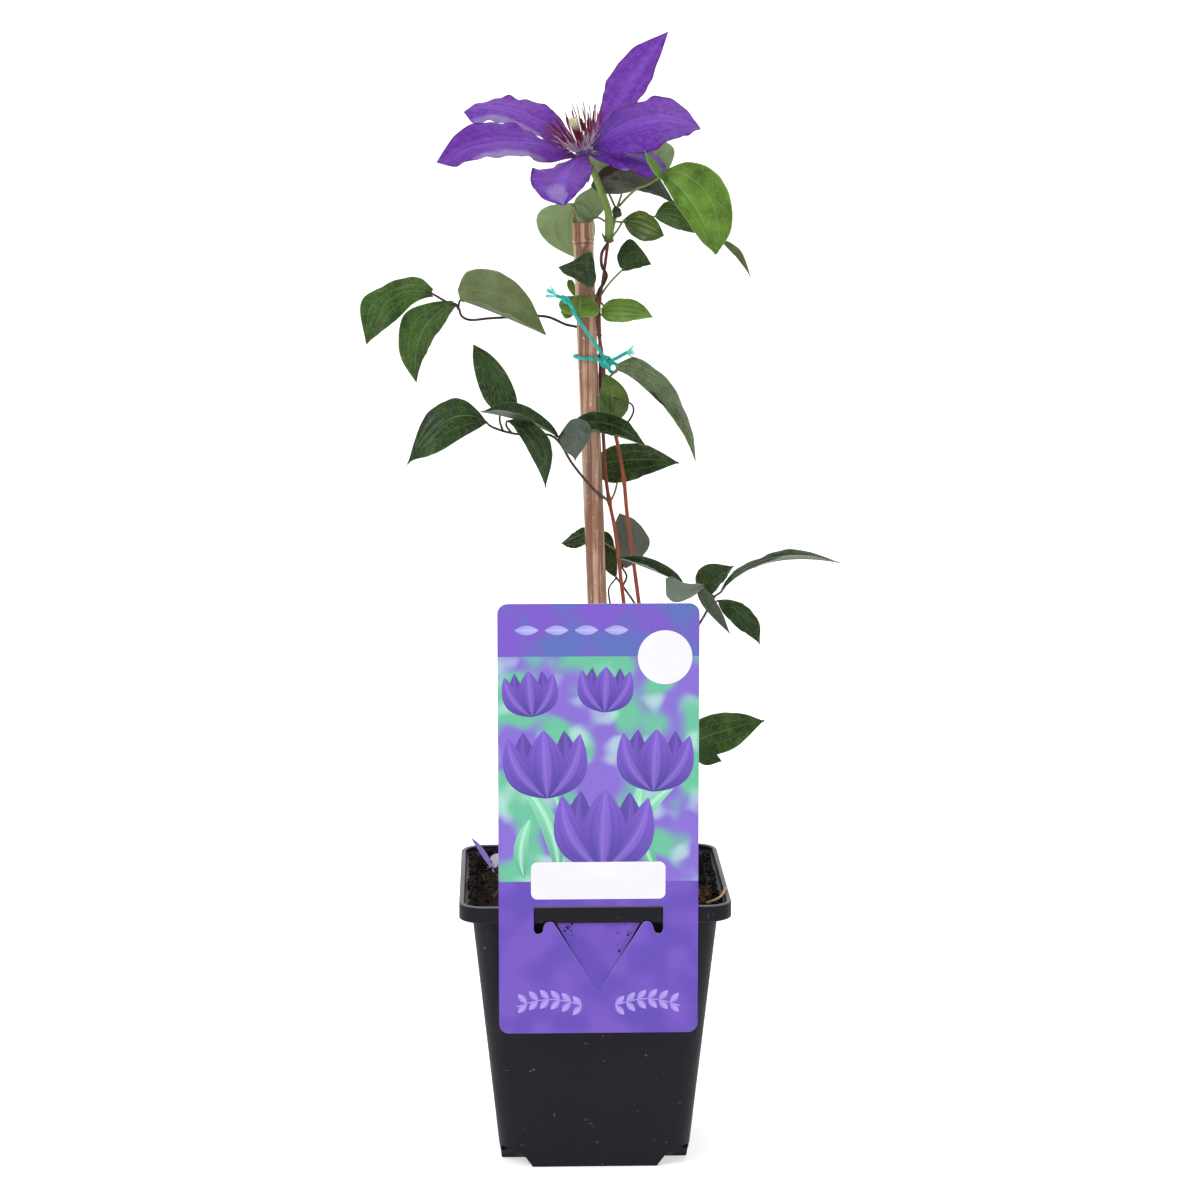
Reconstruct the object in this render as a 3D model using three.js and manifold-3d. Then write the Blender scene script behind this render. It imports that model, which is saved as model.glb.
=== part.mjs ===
// A young large-flowered clematis in a square nursery pot, tied to a bamboo cane, with a hang-on plant label.
// Millimetres. +Z is up, the origin is the middle of the pot's foot on the ground, -Y is the label side.
import * as THREE from "three";
import { mergeVertices } from "three/addons/utils/BufferGeometryUtils.js";
import Module from "manifold-3d";

const wasm = await Module();
wasm.setup();
const { Manifold, Mesh } = wasm;

// Pot
const POT_HEIGHT = 135;
const RIM_HALF = 65; // half the width over the skirt
const LIP_WIDTH = 2.3;
const SKIRT_BOTTOM = 127;
const SKIRT_WALL = 1.4;
const BODY_TOP_HALF = 59.2;
const BODY_LOW_HALF = 46.4;
const FLOOR_UNDER = 6; // the corners of the floor stand this high over the ground
const FLOOR_TOP = 8;
const WALL = 1.2;
const FOOT_HALF = 30.5; // the arms of the cross-shaped foot, at the ground
const FOOT_ROOT_HALF = 34.7; // and where they join the floor
const DRAIN_RADIUS = 5.5;
const DRAIN_PLACE = 40;
const RIM_CORNER = 12;
const BODY_CORNER = 10.5;

// Gap left between two pieces that rest on each other
const SEAT = 0.3;

// Cane
const CANE_RADIUS = 4.75;
const CANE_TOP = [-4.5, 0, 454.5];
const CANE_LEAN = -0.0379; // sideways step per millimetre of height
const CANE_BOTTOM_Z = 30;

// Label card: hangs on the pot by a tongue that is cut out of it and tucked up behind the skirt
const CARD_WIDTH = 94.5;
const CARD_MIDDLE_X = 1.1;
const CARD_BOTTOM = 73.5;
const CARD_TOP = 280.5;
const CARD_THICK = 0.6;
const CARD_CORNER = 4.8;
const CARD_FRONT_Y = -66;
const SLOT_HALF = 30.7;
const SLOT_LOW = 126;
const SLOT_HIGH = 135.6;
const TONGUE_TIP_Z = 93.8;
const TONGUE_TOP_Z = 129.8;
const TONGUE_TOP_Y = -62.9;
const CUT_WIDTH = 0.5;

// Leaves, tepals and cord
const LEAF_THICK = 0.7;
const TEPAL_THICK = 0.7;
const CORD_RADIUS = 0.85;

// Flower
const BLOOM = new THREE.Vector3(-4, -0.5, 487.5); // top of the receptacle
const BLOOM_AXIS = new THREE.Vector3(-0.3, -0.32, 0.9).normalize();
const STAMEN_COUNT = 40;
const STYLE_COUNT = 9;

const vec = (p) => new THREE.Vector3(p[0], p[1], p[2]);
const lerp = (a, b, t) => a + (b - a) * t;

// A repeatable draw between 0 and 1
let drawState = 7;
function draw() {
  drawState = (drawState * 1103515245 + 12345) % 2147483648;
  return drawState / 2147483648;
}

// Solid from a list of vertices and triangles
function solidOf(points, faces) {
  const geometry = new THREE.BufferGeometry();
  const flat = points.flatMap((p) => [p.x, p.y, p.z]);
  geometry.setAttribute("position", new THREE.Float32BufferAttribute(flat, 3));
  geometry.setIndex(faces.flat());
  const merged = mergeVertices(geometry, 1e-3);
  const made = new Manifold(
    new Mesh({
      numProp: 3,
      vertProperties: new Float32Array(merged.attributes.position.array),
      triVerts: new Uint32Array(merged.index.array),
    }),
  );
  return made.volume() < 0 ? solidOf(points, faces.map(([a, b, c]) => [a, c, b])) : made;
}

// Skin over rings of equal length, closed by a fan at each end
function loft(rings) {
  const size = rings[0].length;
  const points = rings.flat();
  const faces = [];
  for (let i = 0; i < rings.length - 1; i++) {
    for (let j = 0; j < size; j++) {
      const a = i * size + j;
      const b = i * size + ((j + 1) % size);
      faces.push([a, b, b + size], [a, b + size, a + size]);
    }
  }
  const middle = (ring) => ring.reduce((s, p) => s.add(p), new THREE.Vector3()).divideScalar(size);
  const low = points.push(middle(rings[0])) - 1;
  const high = points.push(middle(rings.at(-1))) - 1;
  const last = (rings.length - 1) * size;
  for (let j = 0; j < size; j++) {
    const next = (j + 1) % size;
    faces.push([low, next, j], [high, last + j, last + next]);
  }
  return solidOf(points, faces);
}

// Ring of a square with round corners
function squareRing(half, corner, z) {
  const ring = [];
  for (let quarter = 0; quarter < 4; quarter++) {
    for (let k = 0; k <= 4; k++) {
      const angle = ((quarter + k / 4) * Math.PI) / 2;
      const cx = (half - corner) * Math.sign(Math.cos(((quarter + 0.5) * Math.PI) / 2));
      const cy = (half - corner) * Math.sign(Math.sin(((quarter + 0.5) * Math.PI) / 2));
      ring.push(new THREE.Vector3(cx + corner * Math.cos(angle), cy + corner * Math.sin(angle), z));
    }
  }
  return ring;
}

// Round or faceted bar along a smooth line through the points; the radius runs from the first to the last
function bar(places, radiusStart, radiusEnd, sides = 5, stepsPerSpan = 2) {
  const curve = new THREE.CatmullRomCurve3(places.map(vec), false, "centripetal");
  const count = (places.length - 1) * stepsPerSpan;
  const side = new THREE.Vector3(0.3, 1, 0.2);
  const rings = [];
  for (let i = 0; i <= count; i++) {
    const tangent = curve.getTangent(i / count);
    side.addScaledVector(tangent, -side.dot(tangent)).normalize();
    const radius = lerp(radiusStart, radiusEnd, i / count);
    rings.push(ringAround(curve.getPoint(i / count), side, tangent.clone().cross(side), radius, sides));
  }
  return loft(rings);
}

function ringAround(centre, side, up, radius, sides) {
  const ring = [];
  for (let j = 0; j < sides; j++) {
    const angle = (j / sides) * Math.PI * 2;
    ring.push(
      centre
        .clone()
        .addScaledVector(side, radius * Math.cos(angle))
        .addScaledVector(up, radius * Math.sin(angle)),
    );
  }
  return ring;
}

// Round bar whose radius changes at each listed place along a straight axis
function turned(start, axis, steps, sides) {
  const across = new THREE.Vector3(0, 1, 0).cross(axis).normalize();
  const up = axis.clone().cross(across).normalize();
  const rings = steps.map(([along, radius]) =>
    ringAround(start.clone().addScaledVector(axis, along), across, up, radius, sides),
  );
  return loft(rings);
}

// Share of the full half-width along an egg-shaped, pointed leaf
function leafWidth(t, widest, taper) {
  const rise = Math.pow(Math.sin((Math.PI / 2) * Math.min(t / widest, 1)), 0.75);
  const fall = Math.pow(Math.cos((Math.PI / 2) * Math.max((t - widest) / (1 - widest), 0)), taper);
  return Math.max(t < widest ? rise : fall, t < 0.5 ? 0.08 : 0.03);
}

// Edge of a blade as a step away from its midrib. Two steps: at a third and two thirds of an egg-shaped
// leaf. More steps: a smooth edge through all of them, narrow at the base and the tip.
function edgeStep(steps, t, shape) {
  if (steps.length === 2) {
    const share = THREE.MathUtils.clamp(t * 3 - 1, 0, 1);
    const at = (s) => leafWidth(s, shape.widest, shape.taper);
    const first = vec(steps[0]).divideScalar(at(1 / 3));
    const second = vec(steps[1]).divideScalar(at(2 / 3));
    return first.lerp(second, share).multiplyScalar(at(t));
  }
  const stops = [vec(steps[0]).multiplyScalar(shape.foot), ...steps.map(vec)];
  stops.push(vec(steps.at(-1)).multiplyScalar(0.04));
  return new THREE.CatmullRomCurve3(stops, false, "catmullrom").getPoint(t);
}

function midribOf({ base, mid, tip }) {
  const ends = vec(base).add(vec(tip)).multiplyScalar(0.5);
  const control = vec(mid).multiplyScalar(2).sub(ends);
  return new THREE.QuadraticBezierCurve3(vec(base), control, vec(tip));
}

// Thin leaf or tepal: the midrib bends from base over mid to tip, the edges stand off it by left and right.
// Both faces are split into the same triangles.
function blade(form) {
  const shape = { widest: 0.38, taper: 1.15, foot: 0.3, rows: 6, columns: 4, thick: LEAF_THICK, ...form };
  const midrib = midribOf(form);
  const grid = [];
  for (let i = 0; i <= shape.rows; i++) {
    const t = i / shape.rows;
    const middle = midrib.getPoint(t);
    const left = edgeStep(shape.left, t, shape);
    const right = edgeStep(shape.right, t, shape);
    const row = [];
    for (let j = 0; j <= shape.columns; j++) {
      const across = (2 * j) / shape.columns - 1;
      row.push(middle.clone().addScaledVector(across < 0 ? left : right, Math.abs(across)));
    }
    grid.push(row);
  }
  return plate(grid, shape.thick);
}

// Plate of even thickness around a grid of points
function plate(grid, thick) {
  const rows = grid.length;
  const columns = grid[0].length;
  const at = (i, j) => grid[THREE.MathUtils.clamp(i, 0, rows - 1)][THREE.MathUtils.clamp(j, 0, columns - 1)];
  const upper = [];
  const lower = [];
  for (let i = 0; i < rows; i++) {
    for (let j = 0; j < columns; j++) {
      const along = at(i + 1, j).clone().sub(at(i - 1, j));
      const across = at(i, j + 1).clone().sub(at(i, j - 1));
      const normal = across.cross(along).normalize();
      upper.push(at(i, j).clone().addScaledVector(normal, thick / 2));
      lower.push(at(i, j).clone().addScaledVector(normal, -thick / 2));
    }
  }
  const under = upper.length;
  const faces = [];
  for (let i = 0; i < rows - 1; i++) {
    for (let j = 0; j < columns - 1; j++) {
      const a = i * columns + j;
      const b = a + 1;
      const c = b + columns;
      const d = a + columns;
      faces.push([a, b, c], [a, c, d]);
      faces.push([under + a, under + c, under + b], [under + a, under + d, under + c]);
    }
  }
  const rim = [];
  for (let j = 0; j < columns - 1; j++) rim.push(j);
  for (let i = 0; i < rows - 1; i++) rim.push(i * columns + columns - 1);
  for (let j = columns - 1; j > 0; j--) rim.push((rows - 1) * columns + j);
  for (let i = rows - 1; i > 0; i--) rim.push(i * columns);
  rim.forEach((a, k) => {
    const b = rim[(k + 1) % rim.length];
    faces.push([a, under + b, b], [a, under + a, under + b]);
  });
  return solidOf([...upper, ...lower], faces);
}

// Group and its meshes
const group = new THREE.Group();
group.name = "potted_clematis";

function addNode(name, solid, color, roughness = 0.6) {
  const mesh = solid.getMesh();
  const geometry = new THREE.BufferGeometry();
  const places = [];
  for (let i = 0; i < mesh.numVert; i++) {
    places.push(...mesh.vertProperties.subarray(i * mesh.numProp, i * mesh.numProp + 3));
  }
  geometry.setAttribute("position", new THREE.Float32BufferAttribute(places, 3));
  geometry.setIndex([...mesh.triVerts]);
  geometry.computeVertexNormals();
  const made = new THREE.Mesh(geometry, new THREE.MeshStandardMaterial({ color, roughness }));
  made.name = name;
  group.add(made);
}

// Union, with the slivers along the seams merged away and any void closed in by crossing bars filled
function fuse(...solids) {
  const joined = Manifold.union(solids).simplify(0.08);
  return Manifold.union(joined.decompose().filter((body) => body.volume() > 0));
}

// Pot: tapered wall, a hollow skirt round the rim with a narrow lip on top, and a floor on a cross-shaped
// foot with drain holes in its corners
function potBody() {
  const lipIn = RIM_HALF - LIP_WIDTH;
  const skirtIn = RIM_HALF - SKIRT_WALL;
  const ledge = SKIRT_BOTTOM + 3.6;
  const steps = [
    [BODY_LOW_HALF - 0.4, BODY_CORNER, FLOOR_UNDER],
    [BODY_LOW_HALF - 0.3, BODY_CORNER, 9.4],
    [BODY_LOW_HALF, BODY_CORNER, 9.8],
    [BODY_TOP_HALF, BODY_CORNER, ledge],
    [skirtIn, RIM_CORNER - SKIRT_WALL, ledge],
    [skirtIn, RIM_CORNER - SKIRT_WALL, SKIRT_BOTTOM],
    [RIM_HALF, RIM_CORNER, SKIRT_BOTTOM],
    [RIM_HALF, RIM_CORNER, POT_HEIGHT - 0.6],
    [RIM_HALF - 0.6, RIM_CORNER - 0.6, POT_HEIGHT],
    [lipIn + 0.5, RIM_CORNER - 2, POT_HEIGHT],
    [lipIn, RIM_CORNER - 2, POT_HEIGHT - 0.5],
    [lipIn, RIM_CORNER - 2, ledge + 1.6],
    [innerHalf(ledge + 1.2), BODY_CORNER - WALL, ledge + 1.2],
    [innerHalf(FLOOR_TOP), BODY_CORNER - WALL, FLOOR_TOP],
  ];
  return loft(steps.map(([half, corner, z]) => squareRing(half, corner, z)));
}

// Half the clear width inside the pot at a height
function innerHalf(z) {
  const share = (z - FLOOR_TOP) / (SKIRT_BOTTOM - FLOOR_TOP);
  return lerp(BODY_LOW_HALF, BODY_TOP_HALF - 0.4, share) - WALL;
}

function footArm(along) {
  const long = BODY_LOW_HALF - 0.6;
  const ring = (wide, reach, z) => {
    const corners = [
      [-reach, -wide],
      [reach, -wide],
      [reach, wide],
      [-reach, wide],
    ];
    return corners.map(([a, b]) => new THREE.Vector3(along ? a : b, along ? b : -a, z));
  };
  const low = ring(FOOT_HALF, long - 0.4, 0);
  const high = ring(FOOT_ROOT_HALF, long, FLOOR_UNDER);
  const sunk = ring(FOOT_ROOT_HALF, long, FLOOR_UNDER + 0.8);
  return loft([low, high, sunk]);
}

function makePot() {
  let pot = fuse(potBody(), footArm(true), footArm(false));
  for (const x of [-DRAIN_PLACE, DRAIN_PLACE]) {
    for (const y of [-DRAIN_PLACE, DRAIN_PLACE]) {
      const hole = Manifold.cylinder(FLOOR_TOP + 2, DRAIN_RADIUS, DRAIN_RADIUS, 14);
      pot = pot.subtract(hole.translate([x, y, -1]));
    }
  }
  return pot;
}

// Peat: fills the pot, 12 mm under the lip at the left and heaped against it at the front right
function soilTop(x, y) {
  const heap = 9 * Math.exp(-((x - 52) ** 2 + (y + 40) ** 2) / 900);
  const bank = 4 * Math.exp(-((x + 40) ** 2 + (y - 50) ** 2) / 500);
  const lumps = 1.1 * Math.sin(x / 6 + 1) * Math.cos(y / 7) + 0.8 * Math.sin((x + y) / 4.3);
  return 123 + heap + bank + lumps;
}

function makeSoil() {
  const corner = BODY_CORNER - WALL;
  const topHalf = innerHalf(114) - SEAT;
  const rings = [
    squareRing(innerHalf(FLOOR_TOP) - SEAT, corner, FLOOR_TOP + SEAT),
    squareRing(topHalf, corner, 114),
  ];
  for (const share of [1, 0.84, 0.62, 0.38, 0.12]) {
    const ring = squareRing(topHalf * share, corner * share, 0);
    ring.forEach((p) => {
      p.z = soilTop(p.x, p.y) - (share === 1 ? 1.5 : 0);
    });
    rings.push(ring);
  }
  return loft(rings).subtract(fuse(caneHole(), stemHole(STEM_A), stemHole(STEM_B)));
}

// Cane: bamboo with a joint near its cut top, a pith hole and one splinter
function caneAxis() {
  return new THREE.Vector3(CANE_LEAN, 0, 1).normalize();
}

function caneStart() {
  const drop = CANE_TOP[2] - CANE_BOTTOM_Z;
  return new THREE.Vector3(CANE_TOP[0] - CANE_LEAN * drop, CANE_TOP[1], CANE_BOTTOM_Z);
}

function makeCane() {
  const length = vec(CANE_TOP).distanceTo(caneStart());
  const joint = length - 9;
  const steps = [
    [0, CANE_RADIUS],
    [joint - 5, CANE_RADIUS],
    [joint - 1.4, CANE_RADIUS + 0.35],
    [joint - 0.6, CANE_RADIUS + 0.1],
    [joint, CANE_RADIUS + 0.55],
    [joint + 2.4, CANE_RADIUS + 0.3],
    [length - 0.8, CANE_RADIUS + 0.3],
    [length, CANE_RADIUS - 0.3],
  ];
  const body = turned(caneStart(), caneAxis(), steps, 16);
  const pith = turned(vec(CANE_TOP).sub(new THREE.Vector3(0, 0, 4)), caneAxis(), [[0, 1.2], [6, 1.7]], 8);
  const splinter = bar([[-8.2, 0, 450], [-8.4, 0, 455], [-8.7, 0, 460]], 0.75, 0.4, 4, 1);
  return fuse(body.subtract(pith), splinter);
}

function caneHole() {
  const start = caneStart();
  start.z -= SEAT;
  return turned(start, caneAxis(), [[0, CANE_RADIUS + SEAT], [120, CANE_RADIUS + SEAT]], 16);
}

// Label: flat card with a slot for the rim; below the slot a pointed tongue leans back from its lower tip
function makeLabel() {
  const back = CARD_FRONT_Y + CARD_THICK;
  const card = upright(cardOutline(), CARD_FRONT_Y, back);
  const opening = upright(slotOutline(), CARD_FRONT_Y - 1, back + 1);
  return fuse(card.subtract(opening), tongue());
}

function tongue() {
  const front = CARD_FRONT_Y;
  const lean = (TONGUE_TOP_Y - front) / (TONGUE_TOP_Z - TONGUE_TIP_Z);
  const slope = (SLOT_HALF - 10.6) / (SLOT_LOW - TONGUE_TIP_Z);
  const half = slope * (TONGUE_TOP_Z - TONGUE_TIP_Z) - CUT_WIDTH * 1.6;
  const outline = [
    [CARD_MIDDLE_X - 0.8, TONGUE_TIP_Z - 1.5],
    [CARD_MIDDLE_X + 0.8, TONGUE_TIP_Z - 1.5],
    [CARD_MIDDLE_X + half, TONGUE_TOP_Z],
    [CARD_MIDDLE_X - half, TONGUE_TOP_Z],
  ];
  const flat = upright(outline, front, front + CARD_THICK);
  return flat.warp((p) => {
    p[1] += Math.max(0, p[2] - TONGUE_TIP_Z) * lean;
  });
}

// Prism of an outline drawn in x and z, standing from one depth to another
function upright(points, yFrom, yTo) {
  const near = points.map(([x, z]) => new THREE.Vector3(x, yFrom, z));
  const far = points.map(([x, z]) => new THREE.Vector3(x, yTo, z));
  const count = points.length;
  const faces = THREE.ShapeUtils.triangulateShape(points.map(([x, z]) => new THREE.Vector2(x, z)), []);
  const all = faces.map(([a, b, c]) => [a, b, c]);
  faces.forEach(([a, b, c]) => all.push([a + count, c + count, b + count]));
  for (let i = 0; i < count; i++) {
    const next = (i + 1) % count;
    all.push([i, i + count, next + count], [i, next + count, next]);
  }
  return solidOf([...near, ...far], all);
}

function cardOutline() {
  const left = CARD_MIDDLE_X - CARD_WIDTH / 2;
  const right = CARD_MIDDLE_X + CARD_WIDTH / 2;
  const corners = [
    [right - CARD_CORNER, CARD_TOP - CARD_CORNER, 0],
    [left + CARD_CORNER, CARD_TOP - CARD_CORNER, 1],
    [left + CARD_CORNER, CARD_BOTTOM + CARD_CORNER, 2],
    [right - CARD_CORNER, CARD_BOTTOM + CARD_CORNER, 3],
  ];
  const outline = [];
  for (const [x, z, quarter] of corners) {
    for (let k = 0; k <= 5; k++) {
      const angle = ((quarter + k / 5) * Math.PI) / 2;
      outline.push([x + CARD_CORNER * Math.cos(angle), z + CARD_CORNER * Math.sin(angle)]);
    }
  }
  return outline;
}

// Slot with a round lobe hanging from each end and the V of the tongue between them
function slotOutline() {
  const half = [
    [SLOT_HALF, SLOT_HIGH],
    [SLOT_HALF, SLOT_LOW - 2],
    [SLOT_HALF - 0.7, SLOT_LOW - 3.6],
    [SLOT_HALF - 2.2, SLOT_LOW - 4.1],
    [SLOT_HALF - 4, SLOT_LOW - 3.2],
    [SLOT_HALF - 4.8, SLOT_LOW - 0.4],
    [SLOT_HALF - 6, SLOT_LOW + 1.3],
    [SLOT_HALF - 7.9, SLOT_LOW + 1.8],
    [SLOT_HALF - 9.4, SLOT_LOW + 1.3],
    [SLOT_HALF - 10.6, SLOT_LOW - 0.4],
    [CUT_WIDTH, TONGUE_TIP_Z],
  ];
  const right = half.map(([x, z]) => [CARD_MIDDLE_X + x, z]);
  const left = half.map(([x, z]) => [CARD_MIDDLE_X - x, z]);
  return [...right, ...left.reverse()].reverse();
}

// Tie: elastic cord once round the cane and the stems, a knot, a small loop and two frayed ends
function cordRing(centre, radius, tilt, turn) {
  const places = [];
  for (let k = 0; k <= 8; k++) {
    const angle = (k / 8) * Math.PI * 2 * 0.96;
    const flat = new THREE.Vector3(radius * Math.cos(angle), radius * Math.sin(angle), 0);
    flat.applyEuler(new THREE.Euler(tilt, turn, 0));
    places.push([centre[0] + flat.x, centre[1] + flat.y, centre[2] + flat.z]);
  }
  return bar(places, CORD_RADIUS, CORD_RADIUS, 5, 1);
}

function fray(root, ends) {
  return ends.map((end) => bar([root, end], 0.55, 0.35, 4, 1));
}

function makeTie() {
  const around = [
    [5.8, -5.6, 388.6],
    [2, -6.6, 389.6],
    [-4, -6, 390],
    [-7.9, -2.5, 390.3],
    [-8, 2.2, 390.5],
    [-4, 6.1, 390.4],
    [1.5, 6.9, 390.2],
    [6.2, 5.9, 389.8],
    [7.7, 1.2, 389.2],
    [7.4, -3, 388.6],
    [5.8, -5.6, 388],
  ];
  const longTail = [
    [6, -7.4, 389],
    [2.8, -11, 395],
    [-2.6, -19, 403],
    [-8, -26.5, 411],
    [-12.4, -25.5, 419],
    [-17.4, -23.5, 421],
  ];
  const shortTail = [
    [6.4, -7.2, 388],
    [11.5, -7.8, 390.2],
    [16.5, -7.6, 393],
  ];
  return fuse(
    bar(around, CORD_RADIUS, CORD_RADIUS, 5, 1),
    cordRing([6.2, -6.8, 388], 1.5, 0.9, 0.3),
    cordRing([6.9, -6.9, 388.4], 1.5, 1.6, 0.9),
    cordRing([6.1, -7, 387.4], 1.4, 2.4, -0.5),
    cordRing([9.9, -7.4, 386], 2, 1.45, 0.35),
    bar(longTail, CORD_RADIUS, CORD_RADIUS, 5, 1),
    bar(shortTail, CORD_RADIUS, CORD_RADIUS, 5, 1),
    ...fray([-17, -23.6, 420.9], [[-22, -22, 420.8], [-22.2, -22.4, 423.4], [-20.6, -23, 425]]),
    ...fray([16, -7.6, 392.8], [[19.5, -7.4, 395.5], [20, -7.6, 392.8], [18.8, -7.8, 391]]),
  );
}

// Flower: stamens splay from a ring round the tuft of styles
function bloomFrame() {
  const side = new THREE.Vector3(1, 0, 0).cross(BLOOM_AXIS).normalize();
  const other = BLOOM_AXIS.clone().cross(side).normalize();
  return [side, other];
}

function bloomPlace(radius, angle, height) {
  const [side, other] = bloomFrame();
  return BLOOM.clone()
    .addScaledVector(BLOOM_AXIS, height)
    .addScaledVector(side, radius * Math.cos(angle))
    .addScaledVector(other, radius * Math.sin(angle));
}

// Three-sided hair from the receptacle: its lean off the axis in degrees, its length in millimetres
function spike(root, angle, lean, length, thick) {
  const along = (share, steep) => {
    const tilt = THREE.MathUtils.degToRad(lean * steep);
    const reach = root.radius + length * share * Math.sin(tilt);
    return bloomPlace(reach, angle, root.height + length * share * Math.cos(tilt)).toArray();
  };
  return bar([along(0, 1), along(0.5, 1.06), along(1, 0.94)], thick, thick * 0.75, 3, 1);
}

// How far the stamens lean out: most towards the viewer, where no tepal rises
function widestLean(angle) {
  return 34 + 26 * Math.max(0, Math.cos(angle)) ** 2;
}

function makeStamens() {
  const [side, other] = bloomFrame();
  const ringAt = (height, radius) => ringAround(bloomPlace(0, 0, height), side, other, radius, 12);
  const seat = loft([ringAt(SEAT, 3.4), ringAt(1, 3.9), ringAt(2.6, 3.9), ringAt(3.2, 3.2)]);
  const well = loft([ringAt(-1, 2.5), ringAt(5, 2.5)]);
  const solids = [seat.subtract(well)];
  for (let k = 0; k < STAMEN_COUNT; k++) {
    const angle = k * 2.39996;
    const lean = 5 + (widestLean(angle) - 5) * Math.sqrt((k + 0.5) / STAMEN_COUNT);
    const root = { radius: 3.1 + 0.4 * draw(), height: 2.3 };
    solids.push(spike(root, angle, lean, 19 + 3.5 * draw(), 0.48));
  }
  return fuse(...solids);
}

function makeStyles() {
  const [side, other] = bloomFrame();
  const ringAt = (height, radius) => ringAround(bloomPlace(0, 0, height), side, other, radius, 10);
  const solids = [loft([ringAt(SEAT, 2), ringAt(3, 2.1), ringAt(7, 1.2)])];
  for (let k = 0; k < STYLE_COUNT; k++) {
    const angle = k * 2.39996;
    solids.push(spike({ radius: 0.7, height: 2 }, angle, 2 + (8 * k) / STYLE_COUNT, 13 - 2 * draw(), 0.6));
  }
  return fuse(...solids);
}

// Stems: A runs behind the cane's right edge, B crosses in front of it near the top
const STEM_A = [
  [37, 2, 118],
  [35.3, 2.2, 131],
  [15.5, 4, 270],
  [13, 4, 291.5],
  [11, 4, 307],
  [8.5, 4, 319.5],
  [7, 4, 329.5],
  [5.5, 4, 352],
  [4.4, 4, 368.5],
  [4, 4, 393],
  [3.6, 4, 408.5],
  [3.6, 3, 417.5],
  [5, 2, 425],
  [7.6, 0.6, 444.4],
];
const STEM_B = [
  [43.3, 4, 118],
  [41.5, 4.2, 131],
  [23, 6, 269.5],
  [20, 6, 292],
  [17, 5, 314.5],
  [15.5, 4, 330.5],
  [12, 2, 349.5],
  [7, 0, 369.5],
  [5, -1.4, 389.5],
  [2.6, -3.6, 406],
  [2.4, -4.2, 417.5],
  [3.4, -4, 422.5],
  [5.4, -3.2, 425.5],
  [6.8, -2.8, 429.5],
  [4.6, -3, 434],
  [4.6, -3.2, 440],
  [7.2, -3.2, 444.4],
];

function makeStem(places) {
  return bar(places, 1, 0.75, 5, 2);
}

function stemHole(places) {
  const foot = [places[0][0], places[0][1], places[0][2] - SEAT];
  return bar([foot, ...places.slice(1, 3)], 1 + SEAT + 0.1, 1 + SEAT, 8, 4);
}

// Peduncle with the receptacle on top, the green side shoot that carries the top leaves, and a dark bract
function makePeduncle() {
  const below = bloomPlace(0, 0, -3).toArray();
  const stalkLine = [[8, -2.5, 445.6], [8, -3, 453], [7.5, -3, 460], [4.5, -3, 469], [0.4, -2, 479], below];
  const shootLine = [[8.6, -0.5, 446.4], [10, 1.6, 453], [12, 1, 461.5]];
  const bract = {
    base: [10.8, 0.8, 456.5],
    mid: [11.2, -1.6, 459.4],
    tip: [13.6, -3, 461],
    left: [[-1.3, 1.3, 1.8], [0, 0.8, 2.4]],
    right: [[1.8, -0.5, -1.3], [2.6, -1.4, -2]],
    rows: 5,
    columns: 2,
  };
  const [side, other] = bloomFrame();
  const ringAt = (height, radius) => ringAround(bloomPlace(0, 0, height), side, other, radius, 12);
  return fuse(
    bar(stalkLine, 2, 1.5, 8, 2),
    bar(shootLine, 1.2, 1.1, 6, 2),
    loft([ringAt(-4, 1.3), ringAt(-1.8, 3), ringAt(0, 4.6)]),
    blade(bract),
  );
}

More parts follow.
